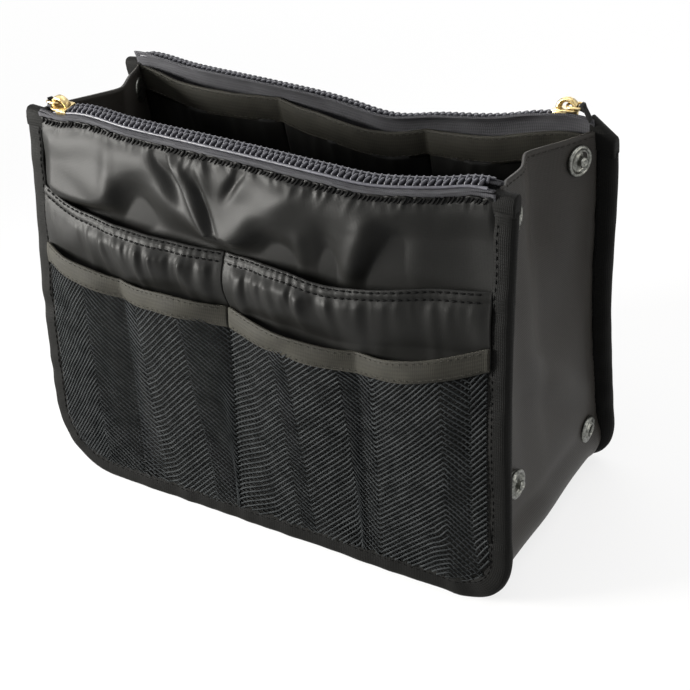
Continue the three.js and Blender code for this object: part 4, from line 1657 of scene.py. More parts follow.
@dataclass
class Zip:
    """Zip along the top of a wall: two tapes, two rows of teeth, slider and pull."""

    wall: Wall
    prefix: str
    seed: int
    shift: float
    inner_rise: float
    end_rise: float
    limp: Limp
    pitch: float = 3.2
    cut_width: float = 12
    tape_thickness: float = 0.6
    sewn: float = 186.5
    flat_edge: float = 1.7
    flat_crown: float = 0.5
    rail_side: float = 3.45
    rail_level: float = 196.7
    rail_radius: float = 0.7
    tooth_side: float = 1.3
    tooth_level: float = 197.3
    tooth_length: float = 4.0
    tooth_height: float = 2.2
    tooth_slant: float = 0.9
    chain_level: float = 196.6
    parting_level: float = 196.0
    parted: float = 0.75

    @property
    def body(self) -> str:
        """Body of the wall that carries the zip."""
        return f"{self.prefix}_wall"

    def tapes(self, dressing: Dressing) -> None:
        """Makes the sewn part of the tapes, from the panel up to the ridge.

        Args:
            dressing: the finishes.
        """
        for name, sign in (("outer", 1), ("inner", -1)):
            seed = self.seed + (7 if sign > 0 else 8)
            seam = Puckers(seed, -SEAM_END, SEAM_END, spacing=4.4, depth=0.5, reach=3.0, lean=0.2)
            ridge = RIDGE_TOP - sign * ZIP_TILT * RIDGE_HALF + (self.inner_rise if sign < 0 else 0.0)

            def place(u: Array, w: Array) -> tuple[Array, Array]:
                """Lays the grid along the tape and up to its ridge.

                Args:
                    u: grid shares across.
                    w: grid shares up.

                Returns:
                    Places in millimetres and cloth coordinates.
                """
                x = (u - 0.5) * 2 * (TAPE_END + 1)
                v = TAPE_FOOT + (ridge - TAPE_FOOT) * w
                d = pinched(x, TAPE_PROFILE.at(w)) + 0.2 * rumple(x, v, self.seed, 22.0) * ease(w * 3 - 1)
                if sign < 0:
                    d = d + seam.height(x, np.abs(v - self.sewn))
                return self.wall.place(x, sign * d, v), np.stack([x, v], axis=-1)

            title = f"{self.prefix}_zip_{name}_tape"
            piece = cloth(title, 220, 14, place, dressing.tape, self.tape_thickness, flip=sign < 0)
            node = f"{self.prefix}_zip_tape_{name}"
            settle(piece, self.body, [node])
        x = np.arange(-TAPE_END + 1, TAPE_END - 1, 1.2)
        path = self.wall.place(x, np.full_like(x, -TAPE_HALF - 0.5), np.full_like(x, self.sewn - 0.1))
        out = np.tile(-np.array(self.wall.out), (len(x), 1))
        thread = stitches(f"{self.prefix}_zip_inner_stitch", path, out, 3.2, 0.34, dressing.thread)
        settle(thread, self.body)

    def rows(self, dressing: Dressing) -> None:
        """Makes the flat of each tape with its rail and teeth.

        Args:
            dressing: the finishes.
        """
        for name, sign in (("outer", 1), ("inner", -1)):

            def place(u: Array, w: Array) -> tuple[Array, Array]:
                """Lays the grid along the tape and from its ridge to the teeth.

                Args:
                    u: grid shares across.
                    w: grid shares up.

                Returns:
                    Places in millimetres and cloth coordinates.
                """
                x = (u - 0.5) * 2 * TAPE_END
                d = pinched(x, np.full_like(w, RIDGE_HALF)) * (1 - w) + self.flat_edge * w
                crown = self.flat_crown * np.sin(math.pi * np.clip(w * 1.2, 0, 1))
                v = RIDGE_TOP + crown - sign * ZIP_TILT * d
                v = v + (self.inner_rise * (1 - w) ** 2 if sign < 0 else 0.0)
                return self.wall.place(x, sign * d, v), np.stack([x, d], axis=-1)

            title = f"{self.prefix}_zip_{name}_edge"
            flat = cloth(title, 200, 6, place, dressing.tape, self.tape_thickness, flip=sign < 0)
            settle(flat, self.body)
            first = SLIDER_X + 2 + (self.pitch / 2 if sign < 0 else 0)
            spots = np.arange(first, TAPE_END - 5, self.pitch)
            along = np.arange(SLIDER_X, TAPE_END - 2, 1.6)
            side = np.full_like(along, sign * self.rail_side)
            path = self.wall.place(along, side, self.rail_level - ZIP_TILT * side)
            rail = strands(f"{self.prefix}_zip_{name}_rail", [path], self.rail_radius, dressing.teeth, 1)
            settle(rail, self.body)
            teeth = self.teeth(f"{self.prefix}_zip_{name}_teeth", spots, sign, dressing)
            settle(teeth, self.body)
            middle = (np.array([0.0]), np.array([sign * RIDGE_HALF]), np.array([self.parting_level]))
            ridge = tuple(self.wall.place(*middle)[0] * MM)
            for part in (flat, rail, teeth):
                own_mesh(part)

    def teeth(self, name: str, spots: Array, sign: int, dressing: Dressing) -> bpy.types.Object:
        """Row of moulded teeth: a slanted shank with a broader head.

        Args:
            name: the piece's name.
            spots: places along the zip.
            sign: 1 for the outer tape, -1 for the inner.
            dressing: the finishes.

        Returns:
            The piece.
        """
        bm = bmesh.new()
        bmesh.ops.create_cube(bm, size=1.0)
        soften(bm, 0.2, 1)
        shape = made_mesh(name + "_shape", bm)
        unit = np.array([v.co for v in shape.vertices], float)
        d = sign * (self.tooth_side - unit[:, 1] * self.tooth_length)
        level = self.tooth_level + unit[:, 2] * self.tooth_height - ZIP_TILT * d
        broad = np.where(unit[:, 1] > 0.2, 1.2, 1.0)
        bm = bmesh.new()
        for x in spots:
            begin = len(bm.verts)
            bm.from_mesh(shape)
            bm.verts.ensure_lookup_table()
            along = x + unit[:, 0] * broad + self.tooth_slant * (unit[:, 1] + 0.5)
            for vert, co in zip(bm.verts[begin:], self.wall.place(along, d, level) * MM):
                vert.co = co
        bpy.data.meshes.remove(shape)
        bmesh.ops.recalc_face_normals(bm, faces=bm.faces)
        return finish_mesh(name, made_mesh(name, bm), dressing.teeth)

    def end_tabs(self, dressing: Dressing) -> None:
        """Makes the folded cloth that closes either end of the zip.

        Args:
            dressing: the finishes.
        """
        near, far = TAPE_END - 1.5, WIDTH / 2 - 0.4
        for name, sign in (("closed", -1), ("open", 1)):
            bm = bmesh.new()
            prism(bm, [(sign * near, -d, v) for d, v in END_TAB_SECTION], (sign * (far - near), 0, 0))
            bmesh.ops.recalc_face_normals(bm, faces=bm.faces)
            soften(bm, 0.9, 3)
            for vert in bm.verts:
                x, inward, v = vert.co
                if name == "closed":
                    v += self.end_rise * float(ease((131 - abs(x)) / 6) * ease((v - 186) / 6))
                vert.co = self.wall.place(np.array(x), np.array(-inward), np.array(v)) * MM
            node = f"{self.prefix}_zip_end_{name}"
            self.drop(bm, f"{self.prefix}_zip_tab_{name}", dressing.binding, self.body, "binding", node)

    def tip(self, bm: bmesh.types.BMesh, swings: bool = False) -> None:
        """Sets a rigid piece, built in the wall's frame in millimetres, on the tilted chain.

        Args:
            bm: the piece.
            swings: keeps the piece square to the pull's hinge, so that it lies alike at both ends of
                its swing.
        """
        centre = Matrix.Translation((0, 0, self.chain_level))
        lean = centre @ Matrix.Rotation(math.atan(ZIP_TILT), 4, "X") @ centre.inverted()
        if swings:
            pivot = Vector((0, 0, PIVOT_LEVEL))
            lean = Matrix.Translation(lean @ pivot - pivot)
        shift = Matrix.Translation((0, self.shift, 0))
        placed = self.wall.matrix() @ Matrix.Scale(MM, 4) @ shift @ lean
        bmesh.ops.transform(bm, matrix=placed, verts=bm.verts)

    def drop(
        self, bm: bmesh.types.BMesh, name: str, material: bpy.types.Material, body: str, slot: str, node: str
    ) -> None:
        """Unwraps a small piece that is in place and settles it.

        Args:
            bm: the piece.
            name: its name.
            material: its finish.
            body: what it moves with.
            slot: not used.
            node: the node that it replaces.
        """
        layer = bm.loops.layers.uv.verify()
        for face in bm.faces:
            for loop in face.loops:
                loop[layer].uv = (loop.vert.co.x + loop.vert.co.y, loop.vert.co.z)
        settle(finish_mesh(name, made_mesh(name, bm), material), body, [node])

    def slider(self, dressing: Dressing) -> None:
        """Makes the slider: two shield plates on a post, side flanges and the arched bridge.

        Args:
            dressing: the finishes.
        """
        bm = bmesh.new()
        for low, high, share in SLIDER_PLATES:
            outline = [(SLIDER_X + x * share, y * share, low) for x, y in SLIDER_OUTLINE]
            prism(bm, outline, (0, 0, high - low))
        for size, spot in SLIDER_BLOCKS:
            made = bmesh.ops.create_cube(bm, size=1.0)
            bmesh.ops.scale(bm, verts=made["verts"], vec=size)
            bmesh.ops.translate(bm, verts=made["verts"], vec=(SLIDER_X + spot[0], spot[1], spot[2]))
        bmesh.ops.recalc_face_normals(bm, faces=bm.faces)
        soften(bm, 0.3, 2)
        arch = bm.faces.new([bm.verts.new((SLIDER_X + x, y, BRIDGE_FOOT)) for x, y in BRIDGE_SECTION])
        middle = (SLIDER_X, 0, BRIDGE_FOOT)
        bmesh.ops.spin(
            bm, geom=[arch], angle=-math.pi, steps=24, axis=(0, 1, 0), cent=middle, use_merge=False
        )
        bmesh.ops.recalc_face_normals(bm, faces=bm.faces)
        self.tip(bm)
        name, body = f"{self.prefix}_slider_body", f"{self.prefix}_slider"
        self.drop(bm, name, dressing.gold, body, "gold", f"{self.prefix}_zip_slider")

    def pull(self, dressing: Dressing) -> None:
        """Makes the wire loop and the ribbon tab on it.

        Args:
            dressing: the finishes.
        """
        bm = bmesh.new()
        made = bmesh.ops.create_circle(bm, segments=10, radius=WIRE)
        bmesh.ops.rotate(bm, verts=made["verts"], matrix=Matrix.Rotation(math.pi / 2, 3, "X"))
        bmesh.ops.translate(bm, verts=made["verts"], vec=(LOOP_RADIUS, 0, 0))
        section = [*bm.verts, *bm.edges]
        bmesh.ops.spin(
            bm, geom=section, angle=2 * math.pi, steps=32, axis=(0, 0, 1), cent=(0, 0, 0), use_merge=True
        )
        bmesh.ops.translate(bm, verts=[v for v in bm.verts if v.co.x < -1e-4], vec=(-LOOP_STRETCH, 0, 0))
        bmesh.ops.recalc_face_normals(bm, faces=bm.faces)
        bmesh.ops.translate(bm, verts=bm.verts, vec=(SLIDER_X - LOOP_RADIUS, 0, PIVOT_LEVEL))
        body = f"{self.prefix}_pull"
        self.tip(bm, swings=True)
        self.drop(bm, f"{self.prefix}_pull_loop", dressing.gold, body, "gold", f"{self.prefix}_zip_loop")
        bm = bmesh.new()
        bar = SLIDER_X - 2 * LOOP_RADIUS - LOOP_STRETCH
        outline = [(bar + x, -RIBBON_WIDTH / 2, PIVOT_LEVEL + z) for x, z in RIBBON_OUTLINE]
        prism(bm, outline, (0, RIBBON_WIDTH, 0))
        bmesh.ops.recalc_face_normals(bm, faces=bm.faces)
        soften(bm, 0.22, 2)
        for vert in bm.verts:
            far = max(bar - vert.co.x, 0.0)
            vert.co += Vector((self.limp.along * far, self.limp.aside * far, -self.limp.drop * far * far))
        self.tip(bm, swings=True)
        name = f"{self.prefix}_pull_ribbon"
        self.drop(bm, name, dressing.binding, body, "binding", f"{self.prefix}_zip_tab")

    def build(self, dressing: Dressing) -> None:
        """Makes the whole zip.

        Args:
            dressing: the finishes.
        """
        self.tapes(dressing)
        self.rows(dressing)
        self.end_tabs(dressing)
        self.slider(dressing)
        self.pull(dressing)


# Gussets, base and snaps


# Folds on a side, by places along y and up
SIDE_FOLDS = (
    Fold((-46, 128), (36, 58), 9.0, 2.4),
    Fold((-30, 92), (30, 44), 8.0, -1.6),
    Fold((-8, 160), (24, 120), 9.0, -1.2),
    Fold((-44, 56), (-10, 30), 6.0, 1.2),
)


@dataclass
class GussetStrip:
    """One length of cloth down a side, under the organizer and up the other side, creased inwards."""

    seed: int = 90
    thickness: float = 1.2
    crease_back: float = 8.0
    crease_round: float = 0.003
    welt: float = 1.1
    welt_less: float = 0.6
    welt_at: float = 0.93
    welt_share: float = 0.04
    base_drop: float = 6.5
    drawn_start: float = 90.0
    drawn_run: float = 94.0
    drawn_rise: float = 7.6
    drawn_tilt: float = 1.4
    hem: float = 2.4
    cut_width: float = 118
    area_width: float = 98
    length: float = edge_length(GUSSET_TOP, GUSSET_INSET)

    @staticmethod
    def half(z: Array) -> Array:
        """Half of the strip's width at a height."""
        return BASE_DEPTH / 2 - z * math.tan(LEAN) - (BINDING_HALF + CLOTH_GAP) / math.cos(LEAN) + 0.9

    def drawn_up(self, z: Array, t: Array) -> Array:
        """How far the settled walls have drawn the sides up at a height."""
        return ease((z - self.drawn_start) / self.drawn_run) * (self.drawn_rise - self.drawn_tilt * t)

    def spot(self, s: Array, t: Array, lift: float = 0.0) -> Array:
        """Places on the strip.

        Args:
            s: distances along the strip.
            t: from -1 at the front wall to 1 at the back.
            lift: how far they stand off the strip's outer side.

        Returns:
            Places in the object's frame, in millimetres.
        """
        x, z, nx, nz = round_the_edge(s, GUSSET_TOP, GUSSET_INSET)
        half = self.half(z)
        share = np.maximum((z - CORNER) / (GUSSET_TOP - CORNER), 0.0)
        crease = 1 - np.sqrt(t * t + self.crease_round) + 0.05
        fold = GUSSET_FOLD * share * np.clip(crease, 0, 1)
        side = ease(np.abs(x) / 40 - 1.8)
        soft = 0.5 * rumple(s, t * 50, self.seed, 60.0) * ease((1 - np.abs(t)) / 0.25) * (0.4 + 0.6 * side)
        welt = np.exp(-(((np.abs(t) - self.welt_at) / self.welt_share) ** 2))
        welt = (self.welt - self.welt_less * ease(t + 0.5)) * welt
        belly = self.base_drop * ease((np.abs(nz) - 0.15) / 0.7)
        slack = sum(line.at(t * half, z) for line in SIDE_FOLDS) * side * ease((1 - np.abs(t)) / 0.2)
        move = fold + soft - welt - lift - belly - slack
        askew = SKEW * Wall.slack(z / math.cos(LEAN)) * ease(np.abs(t))
        y = t * half + self.crease_back * share * (1 - t * t) + askew
        return relax(np.stack([x + nx * move, y, z + nz * move + self.drawn_up(z, t)], axis=-1))

    def settled(self, seat: Array) -> Array:
        """Finds where a place on a side's flat cloth has come to.

        Args:
            seat: the place in the object's frame, in millimetres.

        Returns:
            The settled place.
        """
        radius = CORNER - GUSSET_INSET
        turned = math.asin(min(max(CORNER - seat[2], 0.0) / radius, 1.0))
        drop = GUSSET_TOP - max(seat[2], CORNER) + radius * turned
        s = drop if seat[0] < 0 else self.length - drop
        return self.spot(np.array(s), np.array(seat[1] / self.half(seat[2])))

    def build(self, dressing: Dressing) -> None:
        """Makes the strip and the stitching along its top hems.

        Args:
            dressing: the finishes.
        """

        def place(u: Array, w: Array) -> tuple[Array, Array]:
            """Lays the grid along the strip and from wall to wall.

            Args:
                u: grid shares across.
                w: grid shares up.

            Returns:
                Places in millimetres and cloth coordinates.
            """
            s = u * self.length
            t = w * 2 - 1
            return self.spot(s, t), np.stack([s, t * 55], axis=-1)

        strip = cloth("gusset_and_base", 300, 56, place, dressing.gusset, self.thickness, flip=True)
        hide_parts("left_gusset", "right_gusset", "base_panel")
        self.bend(strip)
        for name, s, sign in (("left", self.hem, -1.0), ("right", self.length - self.hem, 1.0)):
            t = np.linspace(-0.96, 0.96, 60)
            path = self.spot(np.full_like(t, s), t, 0.15)
            out = np.tile(np.array([sign, 0.0, 0.0]), (len(t), 1))
            thread = stitches(f"{name}_gusset_hem_stitch", path, out, 3.2, 0.3, dressing.gusset)
            self.bend(thread)

    @staticmethod
    def bend(piece: bpy.types.Object) -> None:
        """Bakes a piece's placing into its mesh and logs it."""
        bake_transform(piece)
        LOG.info("%s bends between the walls", piece.name)


@dataclass
class Snap:
    """One half of a press snap, or the cap that rivets it."""

    node: str
    profile: tuple[tuple[float, float], ...]
    body: str
    cap_sunk: float = 1.2
    top_lower: float = 6.0
    bottom_move: tuple[float, float, float] = (0.0, 4.0, 5.0)
    bottom_upright: float = 0.3

    def seat(self, frame: dict) -> tuple[Array, Array]:
        """Finds where the snap sits on the settled cloth.

        Args:
            frame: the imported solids.

        Returns:
            Its place in metres and the direction it faces.
        """
        mesh = frame["nodes"][self.node].data
        spots = np.array([v.co for v in mesh.vertices], float)
        middle = spots.mean(axis=0)
        axis = np.linalg.svd(spots - middle, full_matrices=False)[2][2]
        cap = self.node.endswith("_cap")
        outward = math.copysign(1.0, middle[0]) * (-1.0 if cap else 1.0)
        if axis[0] * outward < 0:
            axis = -axis
        reach = (spots - middle) @ axis
        seat = middle + axis * reach.min()
        ring = spots - seat - np.outer((spots - seat) @ axis, axis)
        seat = (seat + (ring.min(axis=0) + ring.max(axis=0)) / 2) / MM
        if "bottom" in self.node:
            axis[2] *= self.bottom_upright
            axis /= np.linalg.norm(axis)
            if seat[1] < 0:
                seat += np.array(self.bottom_move)
        elif seat[1] < 0:
            seat[2] -= self.top_lower
        under = self.cap_sunk if cap else 0.0
        return (GussetStrip().settled(seat) + axis * under) * MM, axis

    def build(self, dressing: Dressing, frame: dict) -> None:
        """Spins the profile and sets it where the node is.

        Args:
            dressing: the finishes.
            frame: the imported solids.
        """
        seat, axis = self.seat(frame)
        bm = bmesh.new()
        verts = [bm.verts.new((r * MM, 0.0, h * MM)) for r, h in self.profile]
        for a, b in zip(verts, verts[1:]):
            bm.edges.new((a, b))
        line = [*bm.verts, *bm.edges]
        bmesh.ops.spin(
            bm, geom=line, angle=2 * math.pi, steps=40, axis=(0, 0, 1), cent=(0, 0, 0), use_merge=True
        )
        bmesh.ops.remove_doubles(bm, verts=bm.verts, dist=1e-7)
        bmesh.ops.recalc_face_normals(bm, faces=bm.faces)
        turn = Vector((0, 0, 1)).rotation_difference(Vector(axis)).to_matrix().to_4x4()
        bmesh.ops.transform(bm, matrix=Matrix.Translation(Vector(seat)) @ turn, verts=bm.verts)
        name = f"snap_{self.node}"
        settle(finish_mesh(name, made_mesh(name, bm), dressing.nickel), self.body, [self.node])


# Profiles of the snaps: radius, height above the cloth
STUD = (
    (0.0, -0.35), (7.0, -0.35), (7.25, 0.3), (7.05, 1.2), (6.5, 1.7), (5.8, 1.6), (5.4, 1.0), (5.1, 0.3),
    (4.2, 0.1), (2.4, 0.2), (1.95, 0.8), (1.9, 2.0), (2.3, 2.8), (2.35, 3.3), (2.0, 3.8), (1.4, 4.0),
    (1.0, 3.8), (0.8, 3.0), (0.0, 2.8),
)
SOCKET = (
    (3.0, -0.35), (7.0, -0.35), (7.25, 0.3), (7.05, 1.2), (6.5, 1.7), (5.8, 1.8), (5.2, 1.5), (4.8, 1.55),
    (4.5, 2.0), (4.1, 2.5), (3.6, 2.6), (3.2, 2.3), (3.05, 1.6), (3.0, 0.8), (3.0, -0.35),
)
CAP = ((0.0, 1.2), (2.5, 1.15), (4.5, 0.98), (5.8, 0.62), (6.4, 0.2), (6.3, -0.5), (0.0, -0.5))


# Studio


@dataclass(frozen=True)
class Studio:
    """Pale floor, soft light and the camera."""

    azimuth: float = 34.74
    elevation: float = 31.30
    roll: float = -5.43
    distance: float = 662.0
    focal_px: float = 1324.0
    frame_px: float = 690.0
    target: tuple[float, float, float] = (15.5, 0.0, 75.5)
    floor_half: float = 6.0
    pale: float = 0.86
    fade_start: float = 0.3
    fade_end: float = 1.5
    whiteness: float = 0.8
    world_fill: float = 0.12

    def camera(self) -> None:
        """Sets the camera at the photograph's place."""
        a, e, r = (math.radians(x) for x in (self.azimuth, self.elevation, self.roll))
        back = Vector((math.sin(a) * math.cos(e), -math.cos(a) * math.cos(e), math.sin(e)))
        right = (-back).cross(Vector((0, 0, 1))).normalized()
        up = right.cross(-back)
        across = math.cos(r) * right + math.sin(r) * up
        upright = -math.sin(r) * right + math.cos(r) * up
        data = bpy.data.cameras.new("camera")
        data.sensor_width = 36.0
        data.lens = self.focal_px / self.frame_px * data.sensor_width
        data.clip_start = 0.01
        camera = bpy.data.objects.new("camera", data)
        matrix = Matrix((across, upright, back)).transposed().to_4x4()
        matrix.translation = (Vector(self.target) + back * self.distance) * MM
        camera.matrix_world = matrix
        bpy.context.scene.collection.objects.link(camera)
        bpy.context.scene.camera = camera

    def lamp(
        self,
        name: str,
        spot: tuple[float, float, float],
        size: float,
        watts: float,
        tint: str,
        aim: tuple[float, float, float] = (0.0, 0.0, 0.1),
        spread: float = 180.0,
    ) -> None:
        """Adds a square lamp.

        Args:
            name: the lamp's name.
            spot: its place in metres.
            size: its side in metres.
            watts: its power.
            tint: its colour.
            aim: where it looks.
            spread: how far its beam fans out, in degrees.
        """
        data = bpy.data.lights.new(name, "AREA")
        data.size = size
        data.energy = watts
        data.color = linear(tint)[:3]
        data.spread = math.radians(spread)
        lamp = bpy.data.objects.new(name, data)
        lamp.location = spot
        lamp.rotation_mode = "QUATERNION"
        lamp.rotation_quaternion = (Vector(aim) - Vector(spot)).to_track_quat("-Z", "Y")
        bpy.context.scene.collection.objects.link(lamp)

    @staticmethod
    def seen(tree: bpy.types.NodeTree) -> bpy.types.NodeSocket:
        """Tells what is looked at straight, in a shiny surface or through a clear one.

        Args:
            tree: the nodes of the floor or the world.

        Returns:
            A value of 1 for those looks and 0 for light.
        """
        path = add_node(tree, "ShaderNodeLightPath")
        straight = path.outputs["Is Camera Ray"]
        for other in ("Is Glossy Ray", "Is Transmission Ray"):
            feeds = {0: straight, 1: path.outputs[other]}
            straight = add_node(tree, "ShaderNodeMath", feeds, operation="MAXIMUM").outputs[0]
        return straight

    def floor(self) -> None:
        """Makes the floor, pale and matt, which whitens away from the object."""
        bm = bmesh.new()
        bmesh.ops.create_grid(bm, x_segments=1, y_segments=1, size=self.floor_half)
        material, tree, shader = new_material("pale_floor")
        shader.inputs["Base Color"].default_value = (self.pale, self.pale, self.pale, 1.0)
        shader.inputs["Roughness"].default_value = 0.9
        shader.inputs["Specular IOR Level"].default_value = 0.1
        place = add_node(tree, "ShaderNodeTexCoord").outputs["Object"]
        away = add_node(tree, "ShaderNodeVectorMath", {0: place}, operation="LENGTH").outputs["Value"]
        reach = {"Value": away, 1: self.fade_start, 2: self.fade_end, 3: self.whiteness, 4: 1.0}
        share = add_node(tree, "ShaderNodeMapRange", reach).outputs[0]
        whiter = add_node(tree, "ShaderNodeMath", {0: self.seen(tree), 1: share}, operation="MULTIPLY")
        white = add_node(tree, "ShaderNodeEmission", {"Color": (1, 1, 1, 1), "Strength": 1.0})
        mix = add_node(
            tree, "ShaderNodeMixShader", {0: whiter.outputs[0], 1: shader.outputs[0], 2: white.outputs[0]}
        )
        tree.links.new(mix.outputs[0], tree.nodes["Material Output"].inputs["Surface"])
        floor = finish_mesh("floor", made_mesh("floor", bm), material)

    def world(self) -> None:
        """White surroundings for what the camera sees, and a softer fill for everything else."""
        world = bpy.data.worlds.new("studio")
        bpy.context.scene.world = world
        world.use_nodes = True
        tree = world.node_tree
        tree.nodes.clear()
        fill = add_node(tree, "ShaderNodeBackground", {"Color": (1, 1, 1, 1), "Strength": self.world_fill})
        white = add_node(tree, "ShaderNodeBackground", {"Color": (1, 1, 1, 1), "Strength": 1.0})
        mix = add_node(
            tree, "ShaderNodeMixShader", {0: self.seen(tree), 1: fill.outputs[0], 2: white.outputs[0]}
        )
        add_node(tree, "ShaderNodeOutputWorld", {"Surface": mix.outputs[0]})

    def build(self) -> None:
        """Sets up everything round the object."""
        bpy.context.scene.view_settings.view_transform = "Standard"
        self.camera()
        self.floor()
        self.world()
        self.lamp(
            "key", (-0.66, -0.53, 0.29), size=0.34, watts=3.5, tint="fffdf8",
            aim=(-0.06, -0.06, 0.17), spread=60.0,
        )
        self.lamp("overhead", (-0.3, 0.1, 2.2), size=3.0, watts=56.0, tint="ffffff")
        self.lamp("fill", (1.2, 0.2, 0.5), size=0.8, watts=4.5, tint="fdf8f0")
        self.lamp("back_fill", (-0.5, 1.3, 0.5), size=0.9, watts=5.0, tint="ffffff")


FRONT_FOLDS = (
    Fold((-42, 189), (-12, 150), 2.6, 2.6, 0.12, 0.3),
    Fold((-36, 187), (-15, 158), 1.6, 1.2, 0.2, 0.3),
    Fold((-48, 188), (-33, 166), 5.0, -4.6, 0.15, 0.4),
    Fold((-25, 180), (-12, 152), 2.6, -2.6),
    Fold((1, 189), (-8, 175), 2.4, -2.8, 0.15, 0.4),
    Fold((-23, 189), (-19, 172), 4.0, 1.6),
    Fold((34, 187), (-10, 152), 7.0, 2.2, 0.2, 0.15),
    Fold((8, 166), (26, 148), 9.0, -3.4),
    Fold((33, 166), (31, 148), 4.0, 1.4),
    Fold((46, 172), (47, 146), 6.0, -3.0),
    Fold((70, 178), (56, 149), 5.5, 4.2, 0.2, 0.3),
    Fold((82, 176), (70, 150), 7.0, -2.6),
    Fold((-66, 170), (-60, 150), 11.0, -4.0, 0.3),
    Fold((-79, 184), (-78, 152), 5.0, 1.6),
    Fold((-118, 168), (-84, 150), 7.0, -2.4),
)
BACK_FOLDS = (
    Fold((-60, 188), (-40, 154), 5.0, 2.6),
    Fold((-20, 186), (-30, 158), 4.0, -2.0),
    Fold((20, 184), (5, 154), 6.0, 2.4),
    Fold((60, 186), (72, 156), 5.0, 2.2),
    Fold((84, 180), (80, 154), 5.0, -1.6),
)
SEAM_PUCKER = Curve(((-126, 0.3), (-60, 0.35), (-40, 0.9), (50, 1), (75, 0.5), (126, 0.3)))

# Half of the gap that a seam leaves between two pockets
SEAM_HALF = 0.15
SATIN_ENDS = {
    "left": (-POCKET_HALF - 1, SATIN_SPLIT - SEAM_HALF),
    "right": (SATIN_SPLIT + SEAM_HALF, POCKET_HALF + 1),
}
# Each net pocket: where its chevrons turn, the way of the first, its drift and its rising slope
NET_LAYOUT = (
    ((-97.0,), 1, 0.0, 1.35),
    ((-66.0, -38.0), -1, 0.12, 0.85),
    ((16.0, 24.0, 52.0), 1, 0.1, 0.85),
    ((70.0, 106.0, 118.0), -1, 0.0, 0.85),
)
# How much taller the inner ribbon has pulled out than it was cut
INNER_BAND_SPARE = 2.0


@dataclass(frozen=True)
class WallLook:
    """Everything on one wall, with what differs from the other."""

    wall: Wall
    prefix: str
    seed: int
    folds: tuple[Fold, ...]
    puff: Curve
    crest: Curve
    hem: Curve
    gather: Curve
    shift: float
    inner_rise: float
    end_rise: float
    limp: Limp

    def build(self, dressing: Dressing) -> None:
        """Builds the wall from its face to its zip.

        Args:
            dressing: the finishes.
        """
        wall, prefix, seed = self.wall, self.prefix, self.seed
        FacePanel(wall, prefix, seed, self.folds, self.puff, self.crest, SEAM_PUCKER).build(dressing)
        LiningPanel(wall, prefix, seed + 5).build(dressing)
        for k, (name, (left, right)) in enumerate(SATIN_ENDS.items()):
            pocket = SatinPocket(wall, prefix, name, left, right, self.hem, self.gather, seed + 40 + 5 * k)
            pocket.build(dressing)
        Binding(wall, prefix, seed + 60).build(dressing)
        Zip(wall, prefix, seed + 70, self.shift, self.inner_rise, self.end_rise, self.limp).build(dressing)


FRONT_LOOK = WallLook(
    FRONT,
    "front",
    10,
    FRONT_FOLDS,
    puff=Curve(
        (
            (-126, 5), (-112, 7.5), (-82, 8), (-70, 6), (-55, 5.2), (-35, 7), (-12, 8),
            (10, 7), (30, 5.5), (48, 4.8), (60, 4.6), (74, 2.2), (95, 1), (126, 0.5),
        )
    ),
    crest=Curve(
        (
            (-126, 0.7), (-82, 0.75), (-70, 0.48), (-55, 0.42), (-35, 0.6), (-12, 0.9),
            (8, 0.65), (22, 0.46), (36, 0.38), (60, 0.38), (72, 0.22), (126, 0.2),
        )
    ),
    hem=Curve(
        (
            (-126, 158), (-112, 153.5), (-100, 151.5), (-78, 150), (-49, 148.5), (-12, 147),
            (26, 147), (46, 145), (70, 147), (91, 150), (126, 153),
        )
    ),
    gather=Curve(
        ((-126, 0.25), (-100, 0.4), (-80, 1), (-12, 1.1), (40, 1), (60, 0.5), (90, 0.35), (126, 0.4))
    ),
    shift=SKEW,
    inner_rise=0.0,
    end_rise=0.0,
    limp=Limp(along=0.9, aside=0.75, drop=0.02),
)
BACK_LOOK = WallLook(
    BACK,
    "back",
    30,
    BACK_FOLDS,
    puff=Curve(((-126, 2), (-90, 5), (0, 6), (90, 5), (126, 2))),
    crest=Curve(((-126, 0.6), (-60, 0.45), (0, 0.6), (60, 0.4), (126, 0.6))),
    hem=Curve(((-126, 153), (-90, 149), (-12, 147.5), (50, 148), (126, 154))),
    gather=Curve(((-126, 0.4), (-60, 0.7), (-12, 0.9), (60, 0.6), (126, 0.4))),
    shift=-SKEW,
    inner_rise=2.4,
    end_rise=5.0,
    limp=Limp(along=0.35, aside=0.85, drop=0.006),
)


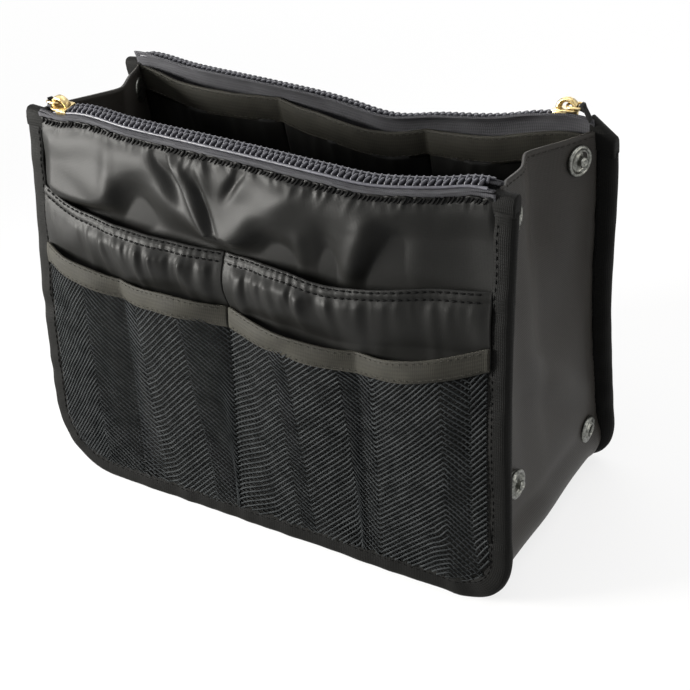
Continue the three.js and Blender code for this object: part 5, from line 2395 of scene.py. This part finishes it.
def build_nets(dressing: Dressing) -> None:
    """Builds the net pockets and the ribbons over their mouths.

    Args:
        dressing: the finishes.
    """
    edges = (-POCKET_HALF, *NET_SEAMS, POCKET_HALF)
    for k, (turns, slope, drift, steep) in enumerate(NET_LAYOUT):
        left, right = edges[k] + SEAM_HALF, edges[k + 1] - SEAM_HALF
        NetPocket(k + 1, left, right, turns, slope, drift, steep).build(dressing)
    bands = {
        "left": (edges[0] - 1, edges[2] - SEAM_HALF),
        "right": (edges[2] + SEAM_HALF, edges[4] + 1),
    }
    for name, (left, right) in bands.items():
        Ribbon(
            FRONT, f"front_band_{name}", f"front_net_band_{name}", left, right, low=NET_TOP,
            high=NET_TOP + BAND_HEIGHT, lift=BAND_LIFT, depth=net_depth, outward=1, seed=120,
        ).build(dressing, "front_wall")


def build_inner_pockets(dressing: Dressing) -> None:
    """Builds the pockets on the back wall's lining and the ribbon over their mouths.

    Args:
        dressing: the finishes.
    """
    edges = (-POCKET_HALF, *INNER_SEAMS, POCKET_HALF)
    for k, name in enumerate(("right", "middle", "left")):
        InnerPocket(name, edges[k] + SEAM_HALF, edges[k + 1] - SEAM_HALF, 140 + 3 * k).build(dressing)
    Ribbon(
        BACK, "inner_band", "inner_pocket_band", edges[0], edges[3], low=INNER_TOP,
        high=INNER_TOP + INNER_BAND + INNER_BAND_SPARE,
        lift=Curve(((-WIDTH / 2, INNER_LIFT), (WIDTH / 2, INNER_LIFT))),
        depth=inner_depth, outward=-1, seed=150,
    ).build(dressing, "back_wall")


def build_snaps(dressing: Dressing, frame: dict) -> None:
    """Builds the press snaps with their caps.

    Args:
        dressing: the finishes.
        frame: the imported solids.
    """
    for side in ("left", "right"):
        for level, near, far in (("top", "socket", "stud"), ("bottom", "stud", "socket")):
            for kind, body in ((near, "front_wall"), (far, "back_wall")):
                node = f"{side}_{kind}_{level}"
                Snap(node, STUD if kind == "stud" else SOCKET, body).build(dressing, frame)
                Snap(f"{node}_cap", CAP, body).build(dressing, frame)


def main() -> None:
    """Sets up the studio, then builds the organizer's looks piece by piece."""
    logging.basicConfig(level=logging.INFO, format="%(message)s")
    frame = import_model()
    Studio().build()
    dressing = Dressing.make()
    for look in (FRONT_LOOK, BACK_LOOK):
        look.build(dressing)
    build_nets(dressing)
    build_inner_pockets(dressing)
    GussetStrip().build(dressing)
    build_snaps(dressing, frame)


if __name__ == "__main__":
    main()
